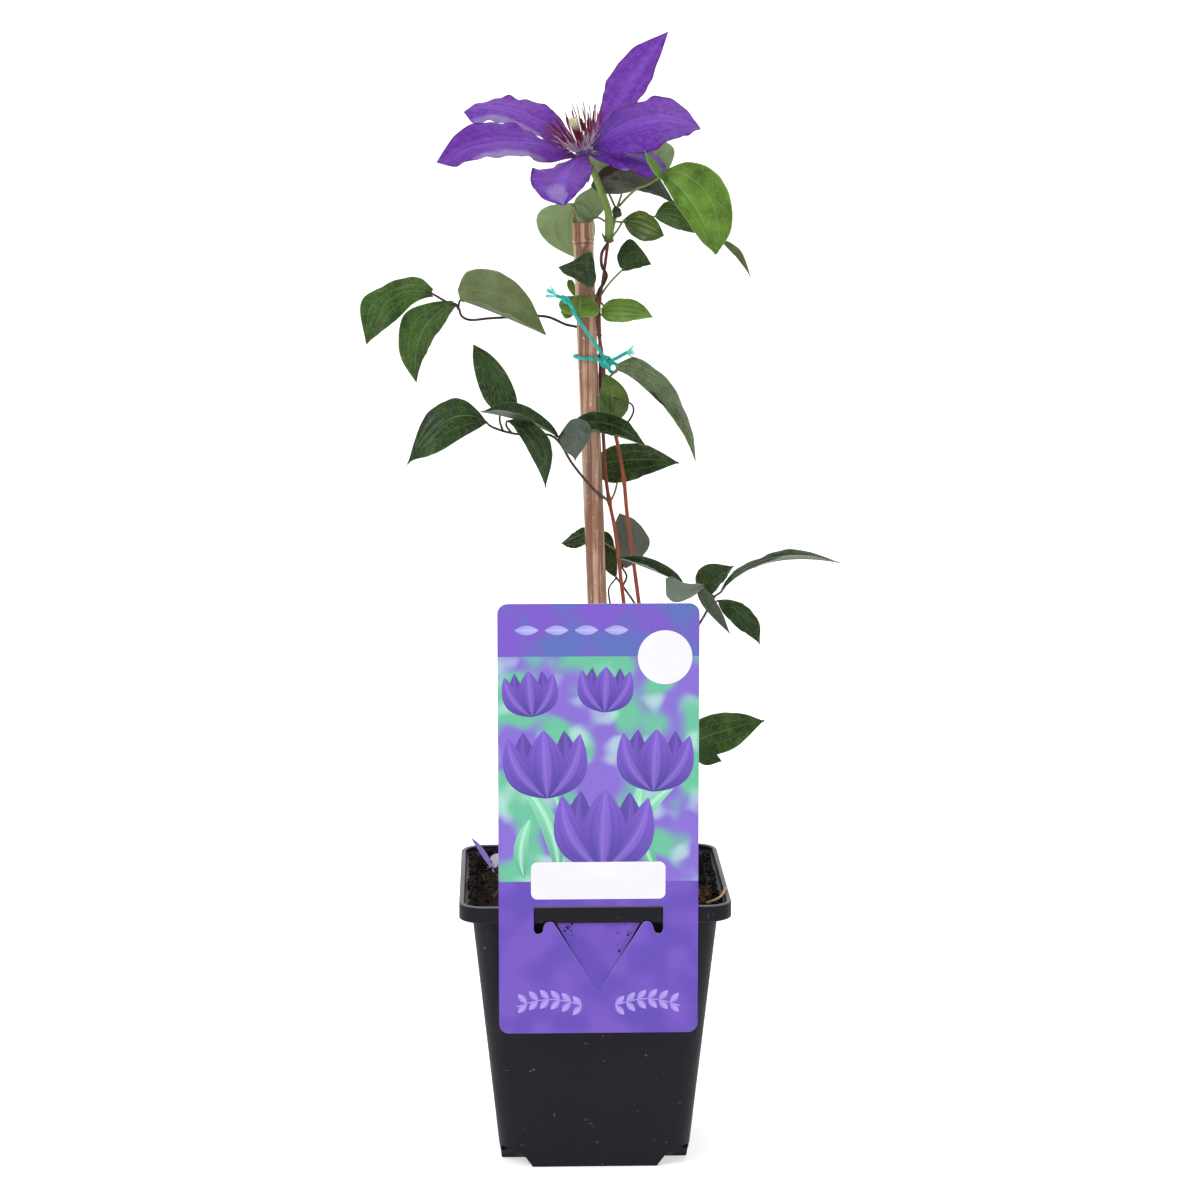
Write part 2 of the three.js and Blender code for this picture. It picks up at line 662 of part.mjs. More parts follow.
// Tepals: six, seen clockwise from the left; the purple upper side faces up
const TEPALS = {
  tepal_left: {
    base: [-7.9, -3.3, 486.2],
    mid: [-41.5, -24, 493.5],
    tip: [-73, -40, 484],
    left: [[-0.5, -9.5, -7.5], [0, -15.5, -7], [-1.5, -16.5, -6], [-2.5, -12, -7.5]],
    right: [[-1.5, 6.5, 3.5], [-1.5, 8.5, 7], [-2.5, 7.5, 9.5], [-3, 4, 7.5]],
  },
  tepal_left_back: {
    base: [-6.9, 3.3, 488.9],
    mid: [-38, 14, 506.5],
    tip: [-61, 20, 506.5],
    left: [[-3, -4.5, -4.5], [-2, -4.5, -4], [-3.5, -7.5, -3.5], [-3.5, -6, -6.5]],
    right: [[5, 5.5, 6], [5.5, 9.5, 8], [3.5, 12.5, 5], [2, 8, 2]],
  },
  tepal_right_back: {
    base: [-2, 3.1, 490.4],
    mid: [17.5, 22, 517.5],
    tip: [37.5, 30, 544.5],
    left: [[-3.5, 3, 1], [-7.5, 4.5, 1], [-12, 7.5, 1.5], [-8.5, 6, 3]],
    right: [[6, -9, -2], [6.5, -9.5, -4.5], [5.5, -6.5, -5], [3.5, -2, -3]],
  },
  tepal_right: {
    base: [0.5, -1.5, 490],
    mid: [25, -8, 502.5],
    tip: [50.5, -18, 499],
    left: [[-4, 12, 5], [-3, 16.5, 8], [0.5, 17.5, 11], [3.5, 11.5, 6.5]],
    right: [[-2, -8, -9.5], [-1, -15.5, -14.5], [1, -16.5, -12], [2, -10.5, -6.5]],
  },
  tepal_right_low: {
    base: [-0.6, -5.7, 486.9],
    mid: [18.5, -8, 485.5],
    tip: [35, -18, 478],
    left: [[2, 12, 3], [3.5, 18, 4], [5.5, 18, 4], [4.5, 12, 3]],
    right: [[-3, -2, -4], [-3.5, -4, -5.5], [-2.5, -8, -6], [-2, -8, -5]],
  },
  tepal_front: {
    base: [-4.4, -5.4, 486.6],
    mid: [-13.5, -42, 477],
    tip: [-14.5, -56, 464.5],
    left: [[7, 10, 1.5], [12, 9, 1.5], [11.5, 4.5, 1.5], [7, 1, 0]],
    right: [[-7.5, 10, -1], [-14.5, 13, 1], [-15.5, 8.5, 1.5], [-10, 1, -1.5]],
  },
};

function makeTepal(form) {
  return blade({ ...form, foot: 0.15, rows: 10, columns: 5, thick: TEPAL_THICK });
}

// Leaves, each one leaf of the vine: its leaflets and the stalk that carries them. A stalk with "into" runs
// on into the base of that leaflet.
const LEAVES = {
  // long arm to the left: hanging end leaflet, low leaflet, and one that leans back over the arm
  leaf_1: {
    color: 0x6a7a34,
    leaflets: {
      end: {
        base: [-76.5, -19, 422],
        mid: [-95.5, -27, 420],
        tip: [-107, -30, 399],
        left: [[2.5, -0.5, -5.5], [4, -3, -8.5], [2.5, -3, -7]],
        right: [[2.5, 6.5, 6.5], [-4.5, 4, 5.5], [-7.5, 1, 6]],
      },
      low: {
        base: [-64.5, -16, 417],
        mid: [-79.5, -24, 405],
        tip: [-84, -25, 380],
        left: [[7, 6, -4.5], [7, 4.5, -6.5]],
        right: [[-13.5, -2, 3], [-13, -2.5, -3.5]],
      },
      top: {
        base: [-63, -15, 418.5],
        mid: [-45.5, -19, 412.5],
        tip: [-22.5, -17, 402],
        left: [[-4.5, 10, 15.5], [-0.5, 13, 19.5], [3.5, 10, 13]],
        right: [[2, -4, 1.5], [1.5, -7, 1.5], [1.5, -4, 0.5]],
      },
    },
    stalks: [
      {
        places: [
          [4.1, 5.7, 400],
          [-2, 7.6, 402],
          [-7, 7.2, 404],
          [-12.5, 3.5, 405.5],
          [-21.5, 0, 409.5],
          [-33.5, -6, 410],
          [-49.5, -10, 409.5],
          [-59, -12, 409],
          [-62.5, -13, 411],
          [-64, -14, 415],
          [-69, -16, 417.5],
        ],
        into: "end",
        thick: 1.4,
      },
      { places: [[-64, -14, 414.5]], into: "low" },
      { places: [[-64, -14, 414.5]], into: "top" },
    ],
  },
  // large leaf at mid height on the left
  leaf_2: {
    color: 0x3f6a3a,
    leaflets: {
      end: {
        base: [-51, -30, 362],
        mid: [-69, -36, 363.5],
        tip: [-88, -38, 343],
        left: [[-1, -3.5, -10], [-2, -5.5, -12.5]],
        right: [[-2, 4.5, 8], [-6, 5.5, 4.5]],
      },
      up: {
        base: [-45.5, -27, 366],
        mid: [-50, -24, 382.5],
        tip: [-57, -20, 397.5],
        left: [[-5.5, -1, -1.5], [-7, -0.5, -1.5]],
        right: [[11.5, -2, -2], [12, -1.5, 2.5]],
      },
      down: {
        base: [-41, -31, 362.5],
        mid: [-29.5, -36, 352.5],
        tip: [-23, -34, 331],
        left: [[4, 5, 4], [8, 5.5, 1.5]],
        right: [[-3.5, 0, 1], [-3, -1, -0.5]],
      },
      left: {
        base: [-16.5, -16, 353],
        mid: [-32.5, -30, 362],
        tip: [-53.5, -42, 368],
        left: [[-1.5, -4.5, 2.5], [-2.5, -11, 5]],
        right: [[2, 1.5, 4.5], [-2, 0.5, 8.5]],
      },
      flap: {
        base: [-16, -14, 353.5],
        mid: [-7.5, -21, 354],
        tip: [-9, -24, 342.5],
        left: [[-5.5, 1, -4.5], [-6, 0.5, -5.5]],
        right: [[0.5, 1, 7.5], [7, 2, 4]],
        rows: 5,
      },
      right: {
        base: [-13, -15, 356.5],
        mid: [7, -18, 355],
        tip: [25.5, -22, 349],
        left: [[0, 7, 8.6], [3.5, 8, 6.8]],
        right: [[-1.5, -5, 1], [-0.5, -9.5, 1]],
      },
    },
    stalks: [
      {
        places: [
          [7.4, 2.6, 320.5],
          [4.5, -5, 323.5],
          [1, -8, 326.5],
          [-3, -9, 331],
          [-10.5, -13, 341],
          [-16, -15, 350.5],
          [-21, -18, 354.5],
          [-35, -25, 355.5],
          [-43, -28, 357.5],
          [-49, -29, 360],
        ],
        into: "end",
        thick: 1.4,
      },
      { places: [[-43, -28, 357.5], [-44.5, -27, 362]], into: "up" },
      { places: [[-39, -27, 356.5], [-41.5, -30, 360.5]], into: "down" },
      { places: [[-16, -15, 350.5], [-15, -15, 354.5]], into: "right" },
      { places: [[-16, -15, 350.5]], into: "left" },
      { places: [[-16, -15, 350.5]], into: "flap" },
    ],
  },
  // folded leaf at the right of the tie
  leaf_3: {
    color: 0x47702e,
    leaflets: {
      end: {
        base: [12.5, -14, 386],
        mid: [35, -18, 375.5],
        tip: [49, -16, 341.5],
        left: [[-2, 7, 6.5], [2, 6, 3], [3.5, 5, -2]],
        right: [[-4, -1, -4], [-3, -4, -6], [-2, -3, -3.5]],
        rows: 9,
      },
    },
    stalks: [{ places: [[6.3, -2.2, 379.5], [9.4, -9, 382.5]], into: "end", thick: 1.2 }],
  },
  // small leaf under the tie, on a stalk that curls round from the right
  leaf_4: {
    color: 0x4d7134,
    leaflets: {
      end: {
        base: [5.5, -11, 383],
        mid: [9.5, -11.5, 372],
        tip: [7.5, -3.6, 356.8],
        left: [[6.5, 1, -0.5], [7.5, 5, -3.5]],
        right: [[-4.5, 3, -1], [-6.5, 6, -3.5]],
        widest: 0.45,
      },
    },
    stalks: [
      {
        places: [
          [11.5, 0, 353.5],
          [15, 1, 356],
          [18.5, 2, 360],
          [20, 0, 364],
          [19, -4, 367.5],
          [15.5, -8, 369.5],
          [12.5, -10.4, 370.5],
          [10, -11.6, 371.5],
        ],
      },
    ],
  },
  // broad leaf behind the cane
  leaf_5: {
    color: 0x2f5a30,
    leaflets: {
      end: {
        base: [-0.5, 14.5, 336],
        mid: [23.5, 9.5, 339.5],
        tip: [42.5, 5.5, 338],
        left: [[-3.5, 3.5, 6.5], [-3, 5, 6.5]],
        right: [[-3.5, -2.5, -11], [-3.5, -4, -7]],
        widest: 0.34,
      },
    },
    stalks: [
      { places: [[9.3, 5.3, 320], [11.2, 7.6, 323.5], [12.4, 9.4, 328], [13, 10.3, 332], [13.4, 11.2, 335]] },
    ],
  },
  // three small leaves and a curled stalk under leaf 5
  leaf_6: {
    color: 0x8c9a6a,
    leaflets: {
      end: {
        base: [15, 14, 286],
        mid: [17.5, 16, 299],
        tip: [14, 20, 311.5],
        left: [[7, 1, -3], [11.5, 3, -1], [5.5, 3, 2.5]],
        right: [[-3, -2, -1.5], [-5, -1, 0], [-4.5, 0, 2]],
        rows: 6,
      },
    },
    stalks: [{ places: [[15.2, 5.5, 278], [17.2, 10, 282]], into: "end" }],
  },
  leaf_7: {
    color: 0x3c4a26,
    leaflets: {
      end: {
        base: [12, 9, 281.5],
        mid: [7.5, 11, 292],
        tip: [4.5, 16, 304],
        left: [[-3.5, 0, -1], [-5, -0.5, 0]],
        right: [[3, -2, 4], [3, 2.5, 7]],
        rows: 6,
      },
    },
    stalks: [
      { places: [[27.2, 4.6, 250.6], [21.5, 3, 268], [16.5, 8, 275.5]], into: "end", thick: 1.2 },
      { places: [[15.6, 2.7, 260.5], [11.2, 8.6, 261.5], [9, 10, 269], [8.5, 10, 276]], into: "end", thick: 1 },
    ],
  },
  leaf_8: {
    color: 0x46602c,
    leaflets: {
      end: {
        base: [0.5, 13, 301],
        mid: [-7, 9, 300],
        tip: [-15, 5, 299],
        left: [[0, -2.5, -3], [-1.5, -3.5, -3]],
        right: [[0.5, 3.5, 5.5], [-0.5, 3.5, 2.5]],
        rows: 5,
      },
    },
    stalks: [{ places: [[11.2, 4.9, 296], [6, 10, 298.5]], into: "end", thick: 1 }],
  },
  // leaf over the label's right corner, several leaflets
  leaf_9: {
    color: 0x4c7a2c,
    leaflets: {
      left: {
        base: [43.5, -14, 281.5],
        mid: [27.5, -22, 290],
        tip: [10.5, -32, 297.5],
        left: [[1, -6, 0.5], [0.5, -9.5, 2]],
        right: [[3.5, 1, 3], [0, -1, 5]],
      },
      flap: {
        base: [53, -12, 280],
        mid: [44, -18, 278.5],
        tip: [35.5, -24, 269.5],
        left: [[-1.5, 1, 4.5], [-10.5, -3, 15.5]],
        right: [[1.5, 0, -5.5], [2.5, -5.5, -10.5]],
        rows: 6,
      },
      down: {
        base: [51, -14, 278.5],
        mid: [57.5, -18, 270.5],
        tip: [66, -22, 258],
        left: [[-3.5, -0.5, 0], [-2.5, -1, -1]],
        right: [[0.5, -0.5, 4], [2, -1, 2]],
        rows: 6,
      },
      low: {
        base: [61, -8, 272.5],
        mid: [72, -11, 266],
        tip: [81, -12, 251.5],
        left: [[3, 3.5, 2], [6, 3.5, 0]],
        right: [[-4, -3, -3.5], [-2.5, -5, -4]],
        rows: 6,
      },
      up: {
        base: [57.5, -8, 275.5],
        mid: [58.5, -2, 281.5],
        tip: [69.5, 4, 287.5],
        left: [[-7.5, -2, 2.5], [-4.5, 0, 6.5]],
        right: [[4, -2, -0.5], [6, 0, 1]],
        rows: 5,
      },
      end: {
        base: [62, -8, 276.5],
        mid: [84.5, -14, 292],
        tip: [118.5, -20, 292.5],
        left: [[-3, 6.5, 0.5], [3, 5, 4.5]],
        right: [[-2, -6.5, -0.5], [2.5, -10, 4]],
        widest: 0.45,
        rows: 8,
      },
    },
    stalks: [
      {
        places: [
          [28, 4.1, 237.5],
          [38, 1, 244],
          [47.5, -4, 254],
          [53, -6, 262.5],
          [56.5, -8, 269.5],
          [59, -9, 274.5],
        ],
        into: "end",
        thick: 1.4,
      },
      { places: [[58.5, -9, 273.5], [54.5, -12, 278.5], [51, -13, 279.5]], into: "left", thick: 1 },
      { places: [[54.5, -12, 278.5]], into: "flap", thick: 1 },
      { places: [[52.5, -12.5, 279]], into: "down", thick: 1 },
      { places: [[56.5, -8, 269.5]], into: "low", thick: 1 },
      { places: [[59, -9, 274.5]], into: "up", thick: 1 },
    ],
  },
  leaf_10: {
    color: 0x4a7436,
    leaflets: {
      end: {
        base: [40.5, -8, 199.5],
        mid: [62.5, -14, 209],
        tip: [83, -18, 215],
        left: [[-2, 4, 8.5], [1.5, 4, 6.5]],
        right: [[1, -1, -8.5], [1, -3.5, -9]],
        widest: 0.33,
      },
      lobe: {
        base: [47.5, -12, 202],
        mid: [56, -16, 199],
        tip: [62.5, -18, 195],
        left: [[-1.5, 2, 3], [-0.5, 1, 3]],
        right: [[-3.5, 1, -3.5], [-3.5, 0, -5.5]],
        rows: 5,
      },
    },
    stalks: [
      { places: [[33, 3.3, 195.5], [37, -2, 197.5]], into: "end", thick: 1.2 },
      { places: [[44.5, -8.8, 201.6]], into: "lobe", thick: 1 },
    ],
  },
  // bright young leaf at the right of the flower, its narrow ear in front of the tepals, a pale one at its tip
  leaf_11: {
    color: 0x7fae3c,
    leaflets: {
      end: {
        base: [32.5, -22, 477],
        mid: [46, -32, 464.4],
        tip: [57, -36, 441],
        left: [[7, 4.5, 10.5], [14, 5.5, 11], [15.5, 4.5, 7.5], [11.5, 2, 1]],
        right: [[-5, -1.5, 0.5], [-6.5, -1.5, -1.5], [-6.5, -2.5, -1.5], [-4, -4, -3]],
        rows: 9,
      },
      ear: {
        base: [35, -26, 473.4],
        mid: [29.6, -30, 481],
        tip: [23.6, -34, 489],
        left: [[-1, -1.5, -1.5], [-2, -2.5, -1.5]],
        right: [[1, 1.5, 0.5], [0, 0.5, 2]],
        rows: 5,
        columns: 2,
      },
      pale: {
        base: [60.5, -18, 447],
        mid: [67.5, -20, 441.3],
        tip: [74.5, -22, 429.4],
        left: [[0.5, 1.5, 1], [1.5, 2, 2]],
        right: [[-1.5, -0.5, -1], [-1, -1, -0.5]],
        rows: 5,
        columns: 2,
      },
    },
    stalks: [
      {
        places: [[13.2, 0, 462.5], [17, -5.4, 467], [21.3, -11, 471], [26.2, -16, 473]],
        into: "end",
        thick: 1.3,
      },
      { places: [[32.5, -22, 477], [34.4, -24.5, 474.5]], into: "ear", thick: 1 },
      { places: [[32.5, -21.5, 476.8], [46, -18, 462], [54, -18, 454]], into: "pale", thick: 1 },
    ],
  },
  // dark leaf behind the peduncle, and a pale one standing up behind the tepals
  leaf_12: {
    color: 0x54664a,
    leaflets: {
      end: {
        base: [0, 8, 471.5],
        mid: [19, 2, 472.5],
        tip: [40, -4, 462.5],
        left: [[-2.5, 8, 7.5], [3.5, 8.5, 10]],
        right: [[-3, -2, -6.5], [-0.5, -5.5, -0.5]],
        rows: 8,
      },
      pale: {
        base: [32.1, 5, 474.2],
        mid: [33.6, 9, 482.3],
        tip: [35.7, 13, 492.9],
        left: [[-4, 1.5, 0.5], [-4.5, 2.5, 4]],
        right: [[4.5, 1.5, 1.5], [6, 2.5, 4]],
        rows: 5,
      },
    },
    stalks: [
      { places: [[12.5, 2.4, 462.6], [14, 3.2, 467], [14.8, 2.6, 470.5], [15, 3.4, 473.6]] },
      { places: [[26, 0.5, 470], [29.5, 2.5, 472.5]], into: "pale", thick: 0.9 },
    ],
  },
  // pale undersides behind the peduncle, two leaflets
  leaf_13: {
    color: 0xa9c98a,
    leaflets: {
      low: {
        base: [-8.5, 12, 463],
        mid: [-12, 14, 450.5],
        tip: [-7.5, 12, 437],
        left: [[-14, 0, 4.5], [-11.5, 0.5, -0.5]],
        right: [[11.5, -1, 3], [13, -1, -0.5]],
        widest: 0.45,
        taper: 0.9,
      },
      high: {
        base: [-2, 12, 454],
        mid: [-1.5, 14, 462],
        tip: [0.5, 14, 471],
        left: [[7.5, -0.5, 0], [7, -0.5, 1]],
        right: [[-6.5, -0.5, 1.5], [-5, -0.5, 2]],
        widest: 0.5,
        rows: 5,
      },
    },
    stalks: [
      {
        places: [[8.5, 2.4, 453.2], [3, 7, 456.5], [-0.5, 10, 455], [-2, 12, 454], [-6.5, 13, 458]],
        into: "low",
        thick: 1,
      },
      { places: [[-0.5, 10, 455]], into: "high", thick: 1 },
    ],
  },
  leaf_14: {
    color: 0x5f8636,
    leaflets: {
      end: {
        base: [15, -9, 456],
        mid: [24.5, -14, 453.5],
        tip: [33.5, -18, 449],
        left: [[1, 4, 6], [2, 3, 4.5]],
        right: [[-3, -1.5, -5.5], [-1.5, -3, -6]],
        widest: 0.5,
        taper: 0.9,
      },
    },
    stalks: [{ places: [[9.3, -4.9, 447.6], [11.8, -7.4, 451]], into: "end", thick: 1.1 }],
  },
  leaf_15: {
    color: 0x6d9440,
    leaflets: {
      end: {
        base: [30.5, 6, 457],
        mid: [41.5, 3, 457],
        tip: [53.5, 0, 448],
        left: [[-1, 4, 5.5], [0, 3, 7.5]],
        right: [[-1, -1, -5], [-1, -3, -5]],
        rows: 6,
      },
    },
    stalks: [{ places: [[11.6, 3.1, 454.7], [18.5, 4.4, 454.5], [25.5, 6, 457]], into: "end", thick: 1 }],
  },
  // small leaves round the cane under its top
  leaf_17: {
    color: 0x39602c,
    leaflets: {
      end: {
        base: [-1, -12, 424],
        mid: [-7.5, -18, 431],
        tip: [-16.5, -24, 434.5],
        left: [[-0.5, 0, -2], [-2, -2, -2], [-2.5, -2, -1.5]],
        right: [[5.5, 4, 2], [6.5, 6, 10], [2, 2, 4]],
      },
    },
    stalks: [{ places: [[1.6, -5.4, 419.2], [0.5, -9, 421.5]], into: "end" }],
  },
  leaf_18: {
    color: 0x4b7a3a,
    leaflets: {
      end: {
        base: [14.5, -8, 432.5],
        mid: [20.5, -14, 436.5],
        tip: [27.5, -20, 435.5],
        left: [[-5.5, 4, 4.5], [-3, 6, 10.5], [-0.5, 3, 5.5]],
        right: [[-0.5, 0, -3], [0.5, -2, -3], [0.5, -2, -2]],
      },
    },
    stalks: [{ places: [[3.6, -3, 419], [6.8, -4.6, 424], [10.5, -6.4, 428.5]], into: "end" }],
  },
  leaf_19: {
    color: 0x86a860,
    leaflets: {
      end: {
        base: [6, 2.6, 411],
        mid: [16, 0, 412.5],
        tip: [28, -4, 409],
        left: [[-1.5, 4.5, 5.5], [0.5, 6, 8]],
        right: [[-2, -1.5, -7], [0, -3.5, -5]],
        rows: 6,
      },
    },
    stalks: [{ places: [[4.8, 4.2, 415.5], [6.6, 4.4, 413]], into: "end" }],
  },
  leaf_20: {
    color: 0x6f9a34,
    leaflets: {
      end: {
        base: [-6, -8, 420],
        mid: [-6, -17, 416],
        tip: [-7, -24, 411],
        left: [[7.5, 1, -0.5], [8, -0.5, -3.5]],
        right: [[-9, 1, 1.5], [-9, -0.5, -1]],
        rows: 6,
      },
    },
    stalks: [{ places: [[1.3, -5.4, 416.6], [-1, -8, 418.6]], into: "end" }],
  },
  leaf_22: {
    color: 0x9dbd83,
    leaflets: {
      end: {
        base: [3.5, 12, 475.5],
        mid: [5, 16, 484.5],
        tip: [-0.5, 24, 503.5],
        left: [[-6, 0, -1.5], [-8.5, 2.5, 4.5]],
        right: [[5, 0, 0.5], [3, 2.5, 4.5]],
        widest: 0.4,
        rows: 6,
      },
    },
    stalks: [{ places: [[10.8, 2, 462.4], [7.5, 8, 469.5]], into: "end" }],
  },
  leaf_24: {
    color: 0x9aa83c,
    leaflets: {
      up: {
        base: [-7.5, 8, 418.5],
        mid: [-9.5, 6, 423],
        tip: [-11.5, 5, 427],
        left: [[-1, 0.5, -1], [-2, -1, 0]],
        right: [[1, 0.5, 1], [1, -1, 2.5]],
        rows: 5,
        columns: 2,
      },
      down: {
        base: [-7, 8, 414],
        mid: [-11, 6, 412.5],
        tip: [-15, 3, 411.5],
        left: [[1, -2, -2.5], [-0.5, -3, -4]],
        right: [[0.5, 1, 3], [-1, 0, 3.5]],
        rows: 5,
        columns: 2,
      },
    },
    stalks: [
      { places: [[3, 4.8, 415.5], [-2.5, 8, 417]], into: "up", thick: 1 },
      { places: [[-2.5, 8, 417]], into: "down", thick: 1 },
    ],
  },
};

function makeLeaf({ leaflets, stalks }) {
  const solids = Object.values(leaflets).map(blade);
  for (const { places, into, thick = 1.1 } of stalks) {
    const line = [...places];
    if (into) {
      const midrib = midribOf(leaflets[into]);
      line.push(...[0, 0.07, 0.14].map((t) => midrib.getPoint(t).toArray()));
    }
    solids.push(bar(line, thick / 2, thick * 0.4, 4, 1));
  }
  return fuse(...solids);
}

// Litter in the pot: a fallen petal strip and a dry leaf in the back left corner, a straw over the right rim
const FALLEN_PETAL = {
  base: [-59.9, 55, 140.6],
  mid: [-53.6, 50.5, 133.2],
  tip: [-47.6, 37, 125.2],
  left: [[1, 0.6, 0.4], [1.1, 0.6, 0.4]],
  right: [[-1, -0.6, -0.4], [-1.1, -0.6, -0.4]],
  columns: 2,
};
const DRY_LEAF = {
  base: [-52.5, 50.5, 127],
  mid: [-47, 48.5, 130.2],
  tip: [-36, 46, 130],
  left: [[0.5, 2.6, 2.6], [0.4, 2.8, 3]],
  right: [[-0.4, -2.4, -2.2], [-0.4, -2.6, -2.6]],
  columns: 2,
};
const STRAW = [[53, -52, 133], [59, -50, 134.9], [64.2, -31, 135.9]];

// Assembly
addNode("pot", makePot(), 0x25262a, 0.55);
addNode("soil", makeSoil(), 0x2b1d14, 0.95);
addNode("cane", makeCane(), 0xb08f66, 0.6);
addNode("label", makeLabel(), 0x7a5cc8, 0.4);
addNode("tie", makeTie(), 0x1fa0a8, 0.8);
addNode("stem_a", makeStem(STEM_A), 0x6b3a28);
addNode("stem_b", makeStem(STEM_B), 0x4a2a24);
addNode("peduncle", makePeduncle(), 0x6d8a3a);
addNode("stamens", makeStamens(), 0x7d2f4e);
addNode("styles", makeStyles(), 0xe6e2b4);
addNode("fallen_petal", blade(FALLEN_PETAL), 0x6a4fb0);
addNode("dry_leaf", blade(DRY_LEAF), 0x8b8a80, 0.9);
addNode("straw", bar(STRAW, 0.6, 0.6, 5, 3), 0xb79a63, 0.9);
for (const [name, form] of Object.entries(TEPALS)) addNode(name, makeTepal(form), 0x5a2fa6, 0.5);
for (const [name, leaf] of Object.entries(LEAVES)) addNode(name, makeLeaf(leaf), leaf.color);

export default group;
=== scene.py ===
import math
import random

import bpy
from mathutils import Euler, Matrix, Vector, noise
from mathutils.geometry import tessellate_polygon


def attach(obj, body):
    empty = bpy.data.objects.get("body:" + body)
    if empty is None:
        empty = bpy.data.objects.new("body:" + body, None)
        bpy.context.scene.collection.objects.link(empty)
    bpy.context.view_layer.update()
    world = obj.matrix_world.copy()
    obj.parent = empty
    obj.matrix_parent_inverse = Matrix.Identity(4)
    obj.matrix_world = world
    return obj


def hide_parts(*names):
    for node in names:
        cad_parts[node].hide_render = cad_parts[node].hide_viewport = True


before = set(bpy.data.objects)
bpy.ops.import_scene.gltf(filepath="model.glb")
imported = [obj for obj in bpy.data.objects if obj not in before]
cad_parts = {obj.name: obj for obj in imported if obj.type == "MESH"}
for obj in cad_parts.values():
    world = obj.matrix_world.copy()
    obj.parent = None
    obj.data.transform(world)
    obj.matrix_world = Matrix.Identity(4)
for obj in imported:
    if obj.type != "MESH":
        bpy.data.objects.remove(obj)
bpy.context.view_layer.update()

MM = 0.001
X_AXIS = Vector((1, 0, 0))
Y_AXIS = Vector((0, 1, 0))

# Camera, fitted to the photograph
CAMERA_PLACE = (-44, -1574, 522)
CAMERA_YAW = 1.74  # degrees to the right
CAMERA_PITCH = 9.03  # degrees down
CAMERA_LENS = 98.28
CAMERA_SENSOR = 36

# Studio, in metres: a paper sweep that bends up behind the pot, a white world and three soft lights
PAPER_HALF = 6.0
PAPER_NEAR = -6.0
PAPER_BEND = 1.6
PAPER_RADIUS = 0.9
PAPER_TOP = 5.0
PAPER_GLOW = 0.55
WORLD_STRENGTH = 0.45
# Each light: name, place, what it points at, width and watts
SOFTBOXES = (
    ("key", (-1.1, -1.5, 1.7), (0, 0, 0.3), 0.7, 22),
    ("fill", (1.6, -1.2, 0.9), (0, 0, 0.25), 1.0, 5),
    ("crown", (0.1, 0.5, 2.0), (0, 0, 0.4), 0.8, 8),
)

# Pot
POT_HEIGHT = 135
RIM_HALF = 65
LIP_WIDTH = 2.3
SKIRT_BOTTOM = 127
SKIRT_WALL = 1.4
RIM_LEDGE = SKIRT_BOTTOM + 3.6  # the ledge inside the rim
BODY_TOP_HALF = 59.2
BODY_LOW_HALF = 46.4
FLOOR_UNDER = 6
FLOOR_TOP = 8
WALL = 1.2
FOOT_HALF = 30.5
FOOT_ROOT_HALF = 34.7
DRAIN_RADIUS = 5.5
DRAIN_PLACE = 40
RIM_CORNER = 12
BODY_CORNER = 10.5

# Peat
PEAT_STEPS = 190  # grid lines across the pot
PEAT_EDGE_Z = 114
PEAT_TOP_Z = 125.2
PEAT_LUMP = 6.5
PEAT_GRAIN = 2.7
LEDGE_CRUMBS = 520
PEAT_CRUMBS = 420
CRUMB_REACH = 55  # crumbs and fibres lie within this of the middle
LEDGE_INSIDE = 57
FIBRE_COUNT = 230

# Cane
CANE_RADIUS = 4.75
CANE_TOP = (-4.5, 0, 454.5)
CANE_LEAN = -0.0379
CANE_BOTTOM_Z = 30
CANE_SIDES = 40
CANE_JOINT_DOWN = 9  # the joint lies this far under the top

# Label card and the tongue that is cut out of it
CARD_WIDTH = 94.5
CARD_MIDDLE_X = 1.1
CARD_BOTTOM = 73.5
CARD_TOP = 280.5
CARD_THICK = 0.6
CARD_CORNER = 4.8
CARD_FRONT_Y = -66
SLOT_HALF = 30.7
SLOT_LOW = 126
SLOT_HIGH = 135.6
LOBE_REACH = 10.6  # the lobes at the slot's ends reach this far inwards
TONGUE_TIP_Z = 93.8
TONGUE_TOP_Z = 129.8
TONGUE_TOP_Y = -62.9
CUT_WIDTH = 0.5
HEADER_Z = 255.5  # lower edge of the printed header band
FOOTER_Z = 147.6  # upper edge of the printed lower band
BAND_EDGE = 0.1  # half the soft edge of a printed band
INK_LAYER = 0.012  # each layer of ink stands this much prouder

# Cord, leaves and flower
CORD_RADIUS = 0.85
LEAF_THICK = 0.35
TEPAL_THICK = 0.3
LEAF_ROWS = 34
TEPAL_ROWS = 48
BLOOM = Vector((-4, -0.5, 487.5))
BLOOM_AXIS = Vector((-0.3, -0.32, 0.9)).normalized()
STAMEN_COUNT = 64
STYLE_COUNT = 26
TURN = 2.39996  # golden angle, spreads the stamens evenly
INNER_LEAN = 5  # degrees
OUTER_LEAN = 44
SIDE_LEAN = 26  # added to the outer lean at the flower's right

